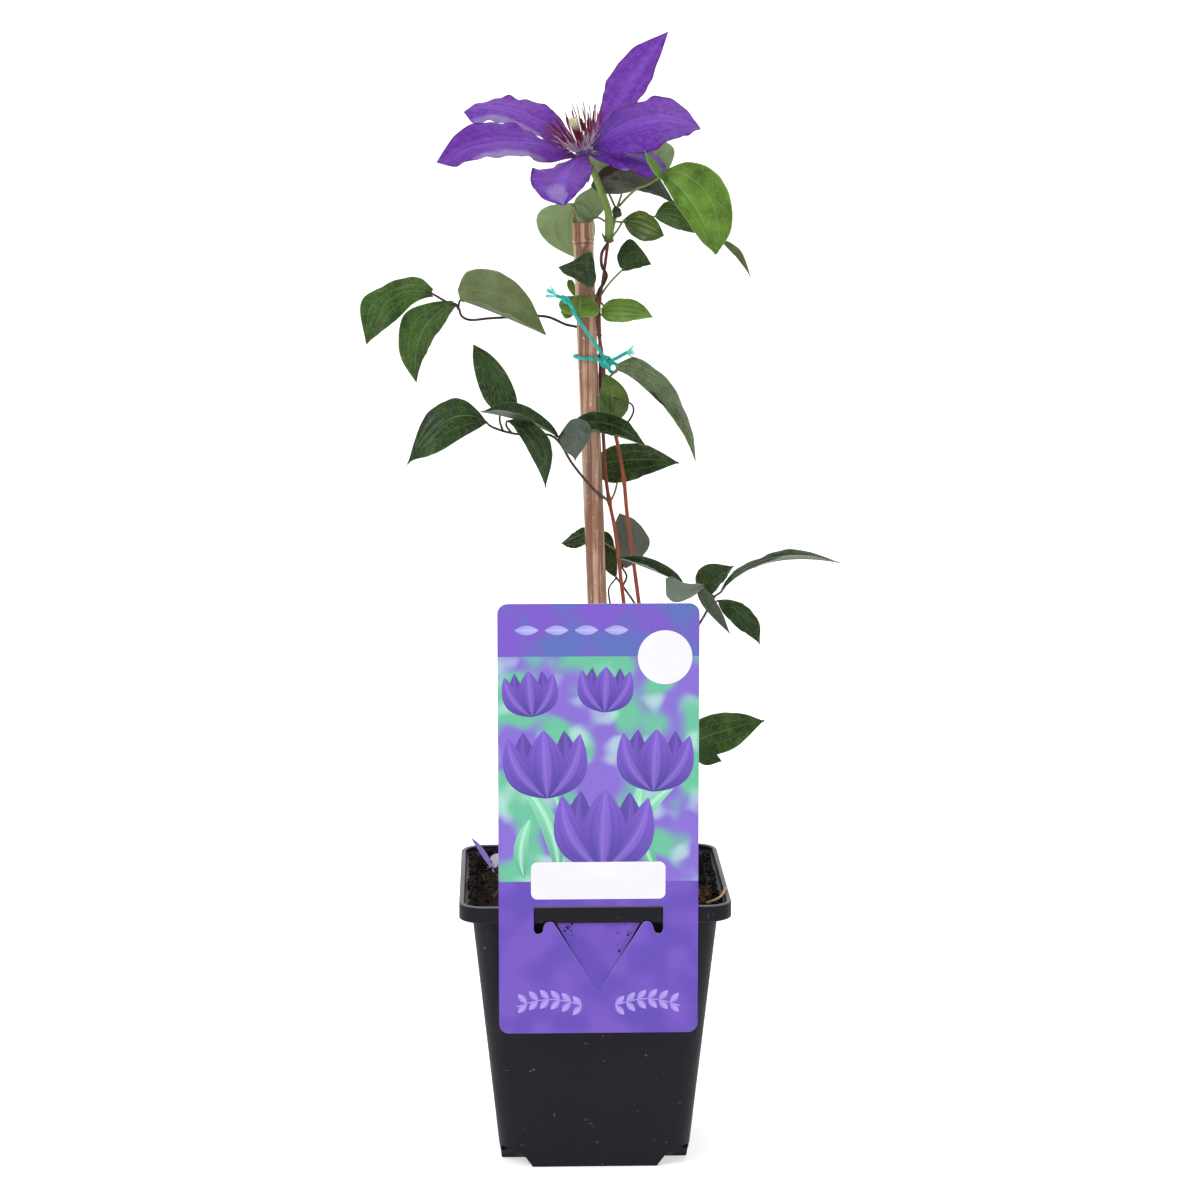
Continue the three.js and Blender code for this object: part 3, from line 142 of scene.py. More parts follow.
# Routes and blades of the plant. A blade's edges are steps off its midrib, from its base to its tip;
# four leaflets have more edge points here than in the part
STEM_A = [
    (37, 2, 118), (35.3, 2.2, 131), (15.5, 4, 270), (13, 4, 291.5), (11, 4, 307), (8.5, 4, 319.5),
    (7, 4, 329.5), (5.5, 4, 352), (4.4, 4, 368.5), (4, 4, 393), (3.6, 4, 408.5), (3.6, 3, 417.5),
    (5, 2, 425), (7.6, 0.6, 444.4),
]
STEM_B = [
    (43.3, 4, 118), (41.5, 4.2, 131), (23, 6, 269.5), (20, 6, 292), (17, 5, 314.5), (15.5, 4, 330.5),
    (12, 2, 349.5), (7, 0, 369.5), (5, -1.4, 389.5), (2.6, -3.6, 406), (2.4, -4.2, 417.5), (3.4, -4, 422.5),
    (5.4, -3.2, 425.5), (6.8, -2.8, 429.5), (4.6, -3, 434), (4.6, -3.2, 440), (7.2, -3.2, 444.4),
]
TEPALS = {
    "tepal_left": {
        "base": (-7.9, -3.3, 486.2),
        "mid": (-41.5, -24, 493.5),
        "tip": (-73, -40, 484),
        "left": [(-0.5, -9.5, -7.5), (0, -15.5, -7), (-1.5, -16.5, -6), (-2.5, -12, -7.5)],
        "right": [(-1.5, 6.5, 3.5), (-1.5, 8.5, 7), (-2.5, 7.5, 9.5), (-3, 4, 7.5)],
    },
    "tepal_left_back": {
        "base": (-6.9, 3.3, 488.9),
        "mid": (-38, 14, 506.5),
        "tip": (-61, 20, 506.5),
        "left": [(-3, -4.5, -4.5), (-2, -5.5, -5.6), (-3.5, -8.5, -6.2), (-3.5, -6.5, -7)],
        "right": [(5, 5.5, 6), (5.5, 9.5, 7.4), (3.5, 11.5, 5.2), (1, 8, 3)],
    },
    "tepal_right_back": {
        "base": (-2, 3.1, 490.4),
        "mid": (17.5, 22, 517.5),
        "tip": (37.5, 30, 544.5),
        "left": [(-3.5, 3, 1), (-7.5, 4.5, 1), (-12, 7.5, 1.5), (-8.5, 6, 3)],
        "right": [(6, -9, -2), (6.5, -9.5, -4.5), (5.5, -6.5, -5), (3.5, -2, -3)],
    },
    "tepal_right": {
        "base": (0.5, -1.5, 490),
        "mid": (25, -8, 502.5),
        "tip": (50.5, -18, 499),
        "left": [(-4, 12, 5), (-3, 16.5, 8), (0.5, 17.5, 11), (3.5, 11.5, 6.5)],
        "right": [(-2, -8, -9.5), (-1, -15.5, -14.5), (1, -16.5, -12), (2, -10.5, -6.5)],
    },
    "tepal_right_low": {
        "base": (-0.6, -5.7, 486.9),
        "mid": (18.5, -8, 485.5),
        "tip": (35, -18, 478),
        "left": [(2, 12, 3), (3.5, 18, 4), (5.5, 18, 4), (4.5, 12, 3)],
        "right": [(-3, -2, -4), (-3.5, -4, -5.5), (-2.5, -8, -6), (-2, -8, -5)],
    },
    "tepal_front": {
        "base": (-4.4, -5.4, 486.6),
        "mid": (-13.5, -42, 477),
        "tip": (-14.5, -56, 464.5),
        "left": [(7, 10, 1.5), (12, 9, 1.5), (11.5, 4.5, 1.5), (7, 1, 0)],
        "right": [(-7.5, 10, -1), (-14.5, 13, 1), (-15.5, 8.5, 1.5), (-10, 1, -1.5)],
    },
}
LEAVES = {
    "leaf_1": {
        "leaflets": {
            "end": {
                "base": (-76.5, -19, 422), "mid": (-95.5, -27, 420), "tip": (-107, -30, 399),
                "left": [(2.5, -0.5, -5.5), (4, -3, -8.5), (2.5, -3, -7)],
                "right": [(2.5, 6.5, 6.5), (-4.5, 4, 5.5), (-7.5, 1, 6)],
            },
            "low": {
                "base": (-65.5, -16, 417), "mid": (-81, -24, 404), "tip": (-83.9, -25, 380.5),
                "left": [(5.1, 5, -1.6), (6.2, 6, -3), (5, 5, -3.2), (3, 3, -1.5)],
                "right": [(-4.5, -1, 4.6), (-9.6, -2, 6.1), (-9.4, -2, 3.5), (-6.8, -2, 1.1)],
            },
            "top": {
                "base": (-63, -15, 418.5), "mid": (-45.5, -19, 412.5), "tip": (-22.5, -17, 402),
                "left": [(-4.5, 10, 15.5), (-0.5, 13, 19.5), (3.5, 10, 13)],
                "right": [(2, -4, 1.5), (1.5, -7, 1.5), (1.5, -4, 0.5)],
            },
        },
        "stalks": [
            {"into": "end", "thick": 1.4,
             "places": [(4.1, 5.7, 400), (-2, 7.6, 402), (-7, 7.2, 404), (-12.5, 3.5, 405.5),
                        (-21.5, 0, 409.5), (-33.5, -6, 410), (-49.5, -10, 409.5), (-59, -12, 409),
                        (-62.5, -13, 411), (-64, -14, 415), (-69, -16, 417.5)]},
            {"into": "low", "thick": 1.1,
             "places": [(-64, -14, 414.5)]},
            {"into": "top", "thick": 1.1,
             "places": [(-64, -14, 414.5)]},
        ],
    },
    "leaf_2": {
        "leaflets": {
            "end": {
                "base": (-51, -30, 362), "mid": (-69, -36, 363.5), "tip": (-88, -38, 343),
                "left": [(-1, -3.5, -10), (-2, -5.5, -12.5)],
                "right": [(-2, 4.5, 8), (-6, 5.5, 4.5)],
            },
            "up": {
                "base": (-44.4, -27, 367), "mid": (-47.6, -24, 382.8), "tip": (-56.8, -20, 397.8),
                "left": [(-6, -1, -2.4), (-7.3, -1, -3), (-7.3, -1, -1.1), (-4.8, -1, 0.4)],
                "right": [(8.7, -2, -3.3), (8.6, -2, -2), (7.1, -1, -0.2), (3.9, 1, 1.1)],
            },
            "down": {
                "base": (-41, -31, 362.5), "mid": (-29.5, -36, 352.5), "tip": (-23, -34, 331),
                "left": [(4, 5, 4), (8, 5.5, 1.5)],
                "right": [(-3.5, 0, 1), (-3, -1, -0.5)],
            },
            "left": {
                "base": (-16.5, -16, 353), "mid": (-32.5, -30, 362), "tip": (-53.5, -42, 368),
                "left": [(-1.5, -4.5, 2.5), (-2.5, -11, 5)],
                "right": [(2, 1.5, 4.5), (-2, 0.5, 8.5)],
            },
            "flap": {
                "base": (-16, -14, 353.5), "mid": (-7.5, -21, 354), "tip": (-9, -24, 342.5),
                "left": [(-5.5, 1, -4.5), (-6, 0.5, -5.5)],
                "right": [(0.5, 1, 7.5), (7, 2, 4)],
            },
            "right": {
                "base": (-13, -15, 356.5), "mid": (7, -18, 355), "tip": (25.5, -22, 349),
                "left": [(0, 7, 8.6), (3.5, 8, 6.8)],
                "right": [(-1.5, -5, 1), (-0.5, -9.5, 1)],
            },
        },
        "stalks": [
            {"into": "end", "thick": 1.4,
             "places": [(7.4, 2.6, 320.5), (4.5, -5, 323.5), (1, -8, 326.5), (-3, -9, 331),
                        (-10.5, -13, 341), (-16, -15, 350.5), (-21, -18, 354.5), (-35, -25, 355.5),
                        (-43, -28, 357.5), (-49, -29, 360)]},
            {"into": "up", "thick": 1.1,
             "places": [(-43, -28, 357.5), (-44.5, -27, 362)]},
            {"into": "down", "thick": 1.1,
             "places": [(-39, -27, 356.5), (-41.5, -30, 360.5)]},
            {"into": "right", "thick": 1.1,
             "places": [(-16, -15, 350.5), (-15, -15, 354.5)]},
            {"into": "left", "thick": 1.1,
             "places": [(-16, -15, 350.5)]},
            {"into": "flap", "thick": 1.1,
             "places": [(-16, -15, 350.5)]},
        ],
    },
    "leaf_3": {
        "leaflets": {
            "end": {
                "base": (12.5, -14, 386), "mid": (35, -18, 375.5), "tip": (49, -16, 341.5),
                "left": [(-2, 7, 6.5), (2, 6, 3), (3.5, 5, -2)],
                "right": [(-4, -1, -4), (-3, -4, -6), (-2, -3, -3.5)],
            },
        },
        "stalks": [
            {"into": "end", "thick": 1.2,
             "places": [(6.3, -2.2, 379.5), (9.4, -9, 382.5)]},
        ],
    },
    "leaf_4": {
        "leaflets": {
            "end": {
                "base": (5.5, -11, 383), "mid": (9.5, -11.5, 372), "tip": (7.5, -3.6, 356.8),
                "left": [(6.5, 1, -0.5), (7.5, 5, -3.5)],
                "right": [(-4.5, 3, -1), (-6.5, 6, -3.5)],
                "widest": 0.45,
            },
        },
        "stalks": [
            {"into": None, "thick": 1.1,
             "places": [(11.5, 0, 353.5), (15, 1, 356), (18.5, 2, 360), (20, 0, 364), (19, -4, 367.5),
                        (15.5, -8, 369.5), (12.5, -10.4, 370.5), (10, -11.6, 371.5)]},
        ],
    },
    "leaf_5": {
        "leaflets": {
            "end": {
                "base": (-0.5, 14.5, 336), "mid": (23.5, 9.5, 339.5), "tip": (42.5, 5.5, 338),
                "left": [(-3.5, 3.5, 6.5), (-3, 5, 6.5)],
                "right": [(-3.5, -2.5, -11), (-3.5, -4, -7)],
                "widest": 0.34,
            },
        },
        "stalks": [
            {"into": None, "thick": 1.1,
             "places": [(9.3, 5.3, 320), (11.2, 7.6, 323.5), (12.4, 9.4, 328), (13, 10.3, 332),
                        (13.4, 11.2, 335)]},
        ],
    },
    "leaf_6": {
        "leaflets": {
            "end": {
                "base": (15, 14, 286), "mid": (17.5, 16, 299), "tip": (14, 20, 311.5),
                "left": [(7, 1, -3), (11.5, 3, -1), (5.5, 3, 2.5)],
                "right": [(-3, -2, -1.5), (-5, -1, 0), (-4.5, 0, 2)],
            },
        },
        "stalks": [
            {"into": "end", "thick": 1.1,
             "places": [(15.2, 5.5, 278), (17.2, 10, 282)]},
        ],
    },
    "leaf_7": {
        "leaflets": {
            "end": {
                "base": (12, 9, 281.5), "mid": (7.5, 11, 292), "tip": (4.5, 16, 304),
                "left": [(-3.5, 0, -1), (-5, -0.5, 0)],
                "right": [(3, -2, 4), (3, 2.5, 7)],
            },
        },
        "stalks": [
            {"into": "end", "thick": 1.2,
             "places": [(27.2, 4.6, 250.6), (21.5, 3, 268), (16.5, 8, 275.5)]},
            {"into": "end", "thick": 1,
             "places": [(15.6, 2.7, 260.5), (11.2, 8.6, 261.5), (9, 10, 269), (8.5, 10, 276)]},
        ],
    },
    "leaf_8": {
        "leaflets": {
            "end": {
                "base": (0.5, 13, 301), "mid": (-7, 9, 300), "tip": (-15, 5, 299),
                "left": [(0, -2.5, -3), (-1.5, -3.5, -3)],
                "right": [(0.5, 3.5, 5.5), (-0.5, 3.5, 2.5)],
            },
        },
        "stalks": [
            {"into": "end", "thick": 1,
             "places": [(11.2, 4.9, 296), (6, 10, 298.5)]},
        ],
    },
    "leaf_9": {
        "leaflets": {
            "left": {
                "base": (43.5, -14, 281.5), "mid": (27.5, -22, 290), "tip": (10.5, -32, 297.5),
                "left": [(1, -6, 0.5), (0.5, -9.5, 2)],
                "right": [(3.5, 1, 3), (0, -1, 5)],
            },
            "flap": {
                "base": (53, -12, 280.3), "mid": (42.5, -18, 279), "tip": (34.8, -22, 285.5),
                "left": [(1.9, 1, 3), (2.2, 1, 3.4), (1.6, 0, 3.8), (0.1, -1, 4.4)],
                "right": [(2.8, -1, -0.8), (2.1, -2, -3.2), (-1.4, -3, -5.8), (-2.4, -3, -4.5)],
            },
            "down": {
                "base": (51, -14, 278.5), "mid": (57.5, -18, 270.5), "tip": (66, -22, 258),
                "left": [(-3.5, -0.5, 0), (-2.5, -1, -1)],
                "right": [(0.5, -0.5, 4), (2, -1, 2)],
            },
            "low": {
                "base": (61, -8, 272.5), "mid": (72, -11, 266), "tip": (81, -12, 251.5),
                "left": [(3, 3.5, 2), (6, 3.5, 0)],
                "right": [(-4, -3, -3.5), (-2.5, -5, -4)],
            },
            "up": {
                "base": (57.5, -8, 275.5), "mid": (58.5, -2, 281.5), "tip": (69.5, 4, 287.5),
                "left": [(-7.5, -2, 2.5), (-4.5, 0, 6.5)],
                "right": [(4, -2, -0.5), (6, 0, 1)],
            },
            "end": {
                "base": (62, -8, 276.5), "mid": (84.5, -14, 292), "tip": (118.5, -20, 292.5),
                "left": [(-3, 6.5, 0.5), (3, 5, 4.5)],
                "right": [(-2, -6.5, -0.5), (2.5, -10, 4)],
                "widest": 0.45,
            },
        },
        "stalks": [
            {"into": "end", "thick": 1.4,
             "places": [(28, 4.1, 237.5), (38, 1, 244), (47.5, -4, 254), (53, -6, 262.5),
                        (56.5, -8, 269.5), (59, -9, 274.5)]},
            {"into": "left", "thick": 1,
             "places": [(58.5, -9, 273.5), (54.5, -12, 278.5), (51, -13, 279.5)]},
            {"into": "flap", "thick": 1,
             "places": [(54.5, -12, 278.5)]},
            {"into": "down", "thick": 1,
             "places": [(52.5, -12.5, 279)]},
            {"into": "low", "thick": 1,
             "places": [(56.5, -8, 269.5)]},
            {"into": "up", "thick": 1,
             "places": [(59, -9, 274.5)]},
        ],
    },
    "leaf_10": {
        "leaflets": {
            "end": {
                "base": (40.5, -8, 199.5), "mid": (62.5, -14, 209), "tip": (83, -18, 215),
                "left": [(-2, 4, 8.5), (1.5, 4, 6.5)],
                "right": [(1, -1, -8.5), (1, -3.5, -9)],
                "widest": 0.33,
            },
            "lobe": {
                "base": (47.5, -12, 202), "mid": (56, -16, 199), "tip": (62.5, -18, 195),
                "left": [(-1.5, 2, 3), (-0.5, 1, 3)],
                "right": [(-3.5, 1, -3.5), (-3.5, 0, -5.5)],
            },
        },
        "stalks": [
            {"into": "end", "thick": 1.2,
             "places": [(33, 3.3, 195.5), (37, -2, 197.5)]},
            {"into": "lobe", "thick": 1,
             "places": [(44.5, -8.8, 201.6)]},
        ],
    },
    "leaf_11": {
        "leaflets": {
            "end": {
                "base": (32.5, -22, 477), "mid": (46, -32, 464.4), "tip": (57, -36, 441),
                "left": [(7, 4.5, 10.5), (14, 5.5, 11), (15.5, 4.5, 7.5), (11.5, 2, 1)],
                "right": [(-5, -1.5, 0.5), (-6.5, -1.5, -1.5), (-6.5, -2.5, -1.5), (-4, -4, -3)],
            },
            "ear": {
                "base": (35, -26, 473.4), "mid": (29.6, -30, 481), "tip": (23.6, -34, 489),
                "left": [(-1, -1.5, -1.5), (-2, -2.5, -1.5)],
                "right": [(1, 1.5, 0.5), (0, 0.5, 2)],
            },
            "pale": {
                "base": (60.5, -18, 447), "mid": (67.5, -20, 441.3), "tip": (74.5, -22, 429.4),
                "left": [(0.5, 1.5, 1), (1.5, 2, 2)],
                "right": [(-1.5, -0.5, -1), (-1, -1, -0.5)],
            },
        },
        "stalks": [
            {"into": "end", "thick": 1.3,
             "places": [(13.2, 0, 462.5), (17, -5.4, 467), (21.3, -11, 471), (26.2, -16, 473)]},
            {"into": "ear", "thick": 1,
             "places": [(32.5, -22, 477), (34.4, -24.5, 474.5)]},
            {"into": "pale", "thick": 1,
             "places": [(32.5, -21.5, 476.8), (46, -18, 462), (54, -18, 454)]},
        ],
    },
    "leaf_12": {
        "leaflets": {
            "end": {
                "base": (0, 8, 471.5), "mid": (19, 2, 472.5), "tip": (40, -4, 462.5),
                "left": [(-2.5, 8, 7.5), (3.5, 8.5, 10)],
                "right": [(-3, -2, -6.5), (-0.5, -5.5, -0.5)],
            },
            "pale": {
                "base": (32.1, 5, 474.2), "mid": (33.6, 9, 482.3), "tip": (35.7, 13, 492.9),
                "left": [(-4, 1.5, 0.5), (-4.5, 2.5, 4)],
                "right": [(4.5, 1.5, 1.5), (6, 2.5, 4)],
            },
        },
        "stalks": [
            {"into": None, "thick": 1.1,
             "places": [(12.5, 2.4, 462.6), (14, 3.2, 467), (14.8, 2.6, 470.5), (15, 3.4, 473.6)]},
            {"into": "pale", "thick": 0.9,
             "places": [(26, 0.5, 470), (29.5, 2.5, 472.5)]},
        ],
    },
    "leaf_13": {
        "leaflets": {
            "low": {
                "base": (-8.5, 12, 463), "mid": (-12, 14, 450.5), "tip": (-7.5, 12, 437),
                "left": [(-14, 0, 4.5), (-11.5, 0.5, -0.5)],
                "right": [(11.5, -1, 3), (13, -1, -0.5)],
                "widest": 0.45, "taper": 0.9,
            },
            "high": {
                "base": (-2, 12, 454), "mid": (-1.5, 14, 462), "tip": (0.5, 14, 471),
                "left": [(7.5, -0.5, 0), (7, -0.5, 1)],
                "right": [(-6.5, -0.5, 1.5), (-5, -0.5, 2)],
                "widest": 0.5,
            },
        },
        "stalks": [
            {"into": "low", "thick": 1,
             "places": [(8.5, 2.4, 453.2), (3, 7, 456.5), (-0.5, 10, 455), (-2, 12, 454), (-6.5, 13, 458)]},
            {"into": "high", "thick": 1,
             "places": [(-0.5, 10, 455)]},
        ],
    },
    "leaf_14": {
        "leaflets": {
            "end": {
                "base": (15, -9, 456), "mid": (24.5, -14, 453.5), "tip": (33.5, -18, 449),
                "left": [(1, 4, 6), (2, 3, 4.5)],
                "right": [(-3, -1.5, -5.5), (-1.5, -3, -6)],
                "widest": 0.5, "taper": 0.9,
            },
        },
        "stalks": [
            {"into": "end", "thick": 1.1,
             "places": [(9.3, -4.9, 447.6), (11.8, -7.4, 451)]},
        ],
    },
    "leaf_15": {
        "leaflets": {
            "end": {
                "base": (30.5, 6, 457), "mid": (41.5, 3, 457), "tip": (53.5, 0, 448),
                "left": [(-1, 4, 5.5), (0, 3, 7.5)],
                "right": [(-1, -1, -5), (-1, -3, -5)],
            },
        },
        "stalks": [
            {"into": "end", "thick": 1,
             "places": [(11.6, 3.1, 454.7), (18.5, 4.4, 454.5), (25.5, 6, 457)]},
        ],
    },
    "leaf_17": {
        "leaflets": {
            "end": {
                "base": (-1, -12, 424), "mid": (-7.5, -18, 431), "tip": (-16.5, -24, 434.5),
                "left": [(-0.5, 0, -2), (-2, -2, -2), (-2.5, -2, -1.5)],
                "right": [(5.5, 4, 2), (6.5, 6, 10), (2, 2, 4)],
            },
        },
        "stalks": [
            {"into": "end", "thick": 1.1,
             "places": [(1.6, -5.4, 419.2), (0.5, -9, 421.5)]},
        ],
    },
    "leaf_18": {
        "leaflets": {
            "end": {
                "base": (14.5, -8, 432.5), "mid": (20.5, -14, 436.5), "tip": (27.5, -20, 435.5),
                "left": [(-5.5, 4, 4.5), (-3, 6, 10.5), (-0.5, 3, 5.5)],
                "right": [(-0.5, 0, -3), (0.5, -2, -3), (0.5, -2, -2)],
            },
        },
        "stalks": [
            {"into": "end", "thick": 1.1,
             "places": [(3.6, -3, 419), (6.8, -4.6, 424), (10.5, -6.4, 428.5)]},
        ],
    },
    "leaf_19": {
        "leaflets": {
            "end": {
                "base": (4.9, 2.6, 411.6), "mid": (17.4, 0, 412.2), "tip": (29, -4, 409.4),
                "left": [(-2, 2, 4.6), (-1, 3, 5.7), (0, 3, 5.6), (0.6, 2, 3.6)],
                "right": [(-2.6, -1, -4.9), (-1.4, -2, -5.5), (-0.4, -2, -4.2), (0.2, -1, -2.2)],
            },
        },
        "stalks": [
            {"into": "end", "thick": 1.1,
             "places": [(4.8, 4.2, 415.5), (6.6, 4.4, 413)]},
        ],
    },
    "leaf_20": {
        "leaflets": {
            "end": {
                "base": (-6, -8, 420), "mid": (-6, -17, 416), "tip": (-7, -24, 411),
                "left": [(7.5, 1, -0.5), (8, -0.5, -3.5)],
                "right": [(-9, 1, 1.5), (-9, -0.5, -1)],
            },
        },
        "stalks": [
            {"into": "end", "thick": 1.1,
             "places": [(1.3, -5.4, 416.6), (-1, -8, 418.6)]},
        ],
    },
    "leaf_22": {
        "leaflets": {
            "end": {
                "base": (3.5, 12, 475.5), "mid": (5, 16, 484.5), "tip": (-0.5, 24, 503.5),
                "left": [(-6, 0, -1.5), (-8.5, 2.5, 4.5)],
                "right": [(5, 0, 0.5), (3, 2.5, 4.5)],
                "widest": 0.4,
            },
        },
        "stalks": [
            {"into": "end", "thick": 1.1,
             "places": [(10.8, 2, 462.4), (7.5, 8, 469.5)]},
        ],
    },
    "leaf_24": {
        "leaflets": {
            "up": {
                "base": (-7.5, 8, 418.5), "mid": (-9.5, 6, 423), "tip": (-11.5, 5, 427),
                "left": [(-1, 0.5, -1), (-2, -1, 0)],
                "right": [(1, 0.5, 1), (1, -1, 2.5)],
            },
            "down": {
                "base": (-7, 8, 414), "mid": (-11, 6, 412.5), "tip": (-15, 3, 411.5),
                "left": [(1, -2, -2.5), (-0.5, -3, -4)],
                "right": [(0.5, 1, 3), (-1, 0, 3.5)],
            },
        },
        "stalks": [
            {"into": "up", "thick": 1,
             "places": [(3, 4.8, 415.5), (-2.5, 8, 417)]},
            {"into": "down", "thick": 1,
             "places": [(-2.5, 8, 417)]},
        ],
    },
}
FALLEN_PETAL = {
    "base": (-59.9, 55, 140.6),
    "mid": (-53.6, 50.5, 133.2),
    "tip": (-47.6, 37, 125.2),
    "left": [(1, 0.6, 0.4), (1.1, 0.6, 0.4)],
    "right": [(-1, -0.6, -0.4), (-1.1, -0.6, -0.4)],
    "columns": 2,
}
DRY_LEAF = {
    "base": (-52.5, 50.5, 127),
    "mid": (-47, 48.5, 130.2),
    "tip": (-36, 46, 130),
    "left": [(0.5, 2.6, 2.6), (0.4, 2.8, 3)],
    "right": [(-0.4, -2.4, -2.2), (-0.4, -2.6, -2.6)],
    "columns": 2,
}
STRAW = [
    (53, -52, 133), (59, -50, 134.9), (64.2, -31, 135.9),
]


# Small sums
def clamp(value, low=0.0, high=1.0):
    return max(low, min(high, value))


def blend(a, b, share):
    return a + (b - a) * share


def smooth(value):
    value = clamp(value)
    return value * value * (3 - 2 * value)


def grain(point, size):
    # Even noise between -1 and 1, with bumps about this many millimetres wide
    return noise.noise(Vector(point) / size)


# Lines
def smooth_line(places, per_span):
    # Centripetal curve through the places, as the part's own stems use
    points = [Vector(p) for p in places]
    first = points[0] * 2 - points[1]
    last = points[-1] * 2 - points[-2]
    points = [first, *points, last]
    line = []
    for k in range(1, len(points) - 2):
        for step in range(per_span):
            line.append(curve_point(points[k - 1 : k + 3], step / per_span))
    line.append(points[-2].copy())
    return line


def curve_point(four, t):
    # Place between the second and the third of four points
    p0, p1, p2, p3 = four
    d0 = max((p1 - p0).length ** 0.5, 1e-4)
    d1 = max((p2 - p1).length ** 0.5, 1e-4)
    d2 = max((p3 - p2).length ** 0.5, 1e-4)
    leave = ((p1 - p0) / d0 - (p2 - p0) / (d0 + d1) + (p2 - p1) / d1) * d1
    arrive = ((p2 - p1) / d1 - (p3 - p1) / (d1 + d2) + (p3 - p2) / d2) * d1
    return hermite(p1, p2, leave, arrive, t)


def hermite(a, b, leave, arrive, t):
    rest = (a - b) * 2 + leave + arrive
    bend = (b - a) * 3 - leave * 2 - arrive
    return a + leave * t + bend * t * t + rest * t * t * t


def even_curve(stops, t):
    # Uniform curve through the stops, evenly spread over t from 0 to 1
    spans = len(stops) - 1
    k = min(int(t * spans), spans - 1)
    share = t * spans - k
    a, b = stops[k], stops[k + 1]
    before = stops[k - 1] if k > 0 else a * 2 - b
    after = stops[k + 2] if k + 2 <= spans else b * 2 - a
    return hermite(a, b, (b - before) / 2, (after - a) / 2, share)


# Pieces
MARKS = ("along", "across", "upper", "brown", "pale")


class Build:
    # Vertices, faces, the finish of each face and the marks of each vertex, while a piece is put together
    def __init__(self):
        self.points = []
        self.faces = []
        self.finishes = []
        self.marks = {name: [] for name in MARKS}

    def add(self, points, faces, finish=0, marks=None):
        start = len(self.points)
        self.points += points
        self.faces += [[start + k for k in face] for face in faces]
        self.finishes += [finish] * len(faces)
        for name, values in self.marks.items():
            values += (marks or {}).get(name, [0.0] * len(points))


def finished_piece(name, build, finishes, slot, *nodes, sharp=35):
    # Makes the piece and hangs it on the frame; it stands in for the nodes, if any are named
    mesh = bpy.data.meshes.new(name)
    mesh.from_pydata([p * MM for p in build.points], [], build.faces)
    for finish in finishes:
        mesh.materials.append(finish)
    mesh.polygons.foreach_set("material_index", build.finishes)
    mesh.polygons.foreach_set("use_smooth", [True] * len(build.faces))
    for mark, values in build.marks.items():
        mesh.attributes.new(mark, "FLOAT", "POINT").data.foreach_set("value", values)
    mesh.validate()
    mesh.set_sharp_from_angle(angle=math.radians(sharp))
    piece = bpy.data.objects.new(name, mesh)
    bpy.context.scene.collection.objects.link(piece)
    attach(piece, "root")
    if nodes:
        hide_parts(*nodes)
    return piece


def loft(rings):
    # Skin over rings of equal length, closed by a flat face at each end
    size = len(rings[0])
    points = [p for ring in rings for p in ring]
    faces = []
    for i in range(len(rings) - 1):
        for j in range(size):
            a = i * size + j
            b = i * size + (j + 1) % size
            faces.append([a, b, b + size, a + size])
    last = (len(rings) - 1) * size
    faces.append(list(range(size))[::-1])
    faces.append([last + j for j in range(size)])
    return points, faces


def ring_around(centre, side, up, radius, sides):
    ring = []
    for j in range(sides):
        angle = j / sides * math.tau
        ring.append(centre + side * (radius * math.cos(angle)) + up * (radius * math.sin(angle)))
    return ring


def tube(line, radii, sides=8):
    # Round bar along a line, one radius per point, with blunt ends
    line = [line[0], *line, line[-1]]
    radii = [radii[0] * 0.45, *radii, radii[-1] * 0.45]
    line[0] = line[1] - (line[2] - line[1]).normalized() * radii[1] * 0.35
    line[-1] = line[-2] + (line[-2] - line[-3]).normalized() * radii[-2] * 0.35
    side = Vector((0.3, 1, 0.2))
    rings = []
    for i, centre in enumerate(line):
        ahead = (line[min(i + 1, len(line) - 1)] - line[max(i - 1, 0)]).normalized()
        side = (side - ahead * side.dot(ahead)).normalized()
        rings.append(ring_around(centre, side, ahead.cross(side), radii[i], sides))
    points, faces = loft(rings)
    along = [i / (len(line) - 1) for i in range(len(line)) for _ in range(sides)]
    return points, faces, {"along": along}


def add_tube(build, places, thick, thin, sides=8, per_span=4, finish=0):
    line = smooth_line(places, per_span)
    radii = [blend(thick, thin, i / (len(line) - 1)) for i in range(len(line))]
    points, faces, marks = tube(line, radii, sides)
    build.add(points, faces, finish, marks)


def square_ring(half, corner, z, per_corner=10):
    # Square with rounded corners, level at this height
    ring = []
    for quarter in range(4):
        middle = (quarter + 0.5) * math.pi / 2
        cx = (half - corner) * math.copysign(1, math.cos(middle))
        cy = (half - corner) * math.copysign(1, math.sin(middle))
        for k in range(per_corner + 1):
            angle = (quarter + k / per_corner) * math.pi / 2
            ring.append(Vector((cx + corner * math.cos(angle), cy + corner * math.sin(angle), z)))
    return ring


# Blades: leaves, tepals and litter
def leaf_width(t, widest, taper):
    # Width of a plain leaf along its length, as a share of its widest place
    rise = math.sin(math.pi / 2 * min(t / widest, 1)) ** 0.75
    fall = math.cos(math.pi / 2 * max((t - widest) / (1 - widest), 0)) ** taper
    return max(rise if t < widest else fall, 0.08 if t < 0.5 else 0.03)


def edge_step(steps, t, form):
    # The edge as a step off the midrib, as in the part's source
    steps = [Vector(s) for s in steps]
    if len(steps) == 2:
        widest, taper = form.get("widest", 0.38), form.get("taper", 1.15)
        first = steps[0] / leaf_width(1 / 3, widest, taper)
        second = steps[1] / leaf_width(2 / 3, widest, taper)
        return first.lerp(second, smooth((t - 0.15) / 0.7)) * leaf_width(t, widest, taper)
    stops = [steps[0] * form.get("foot", 0.3), *steps, steps[-1] * 0.04]
    return even_curve(stops, t)


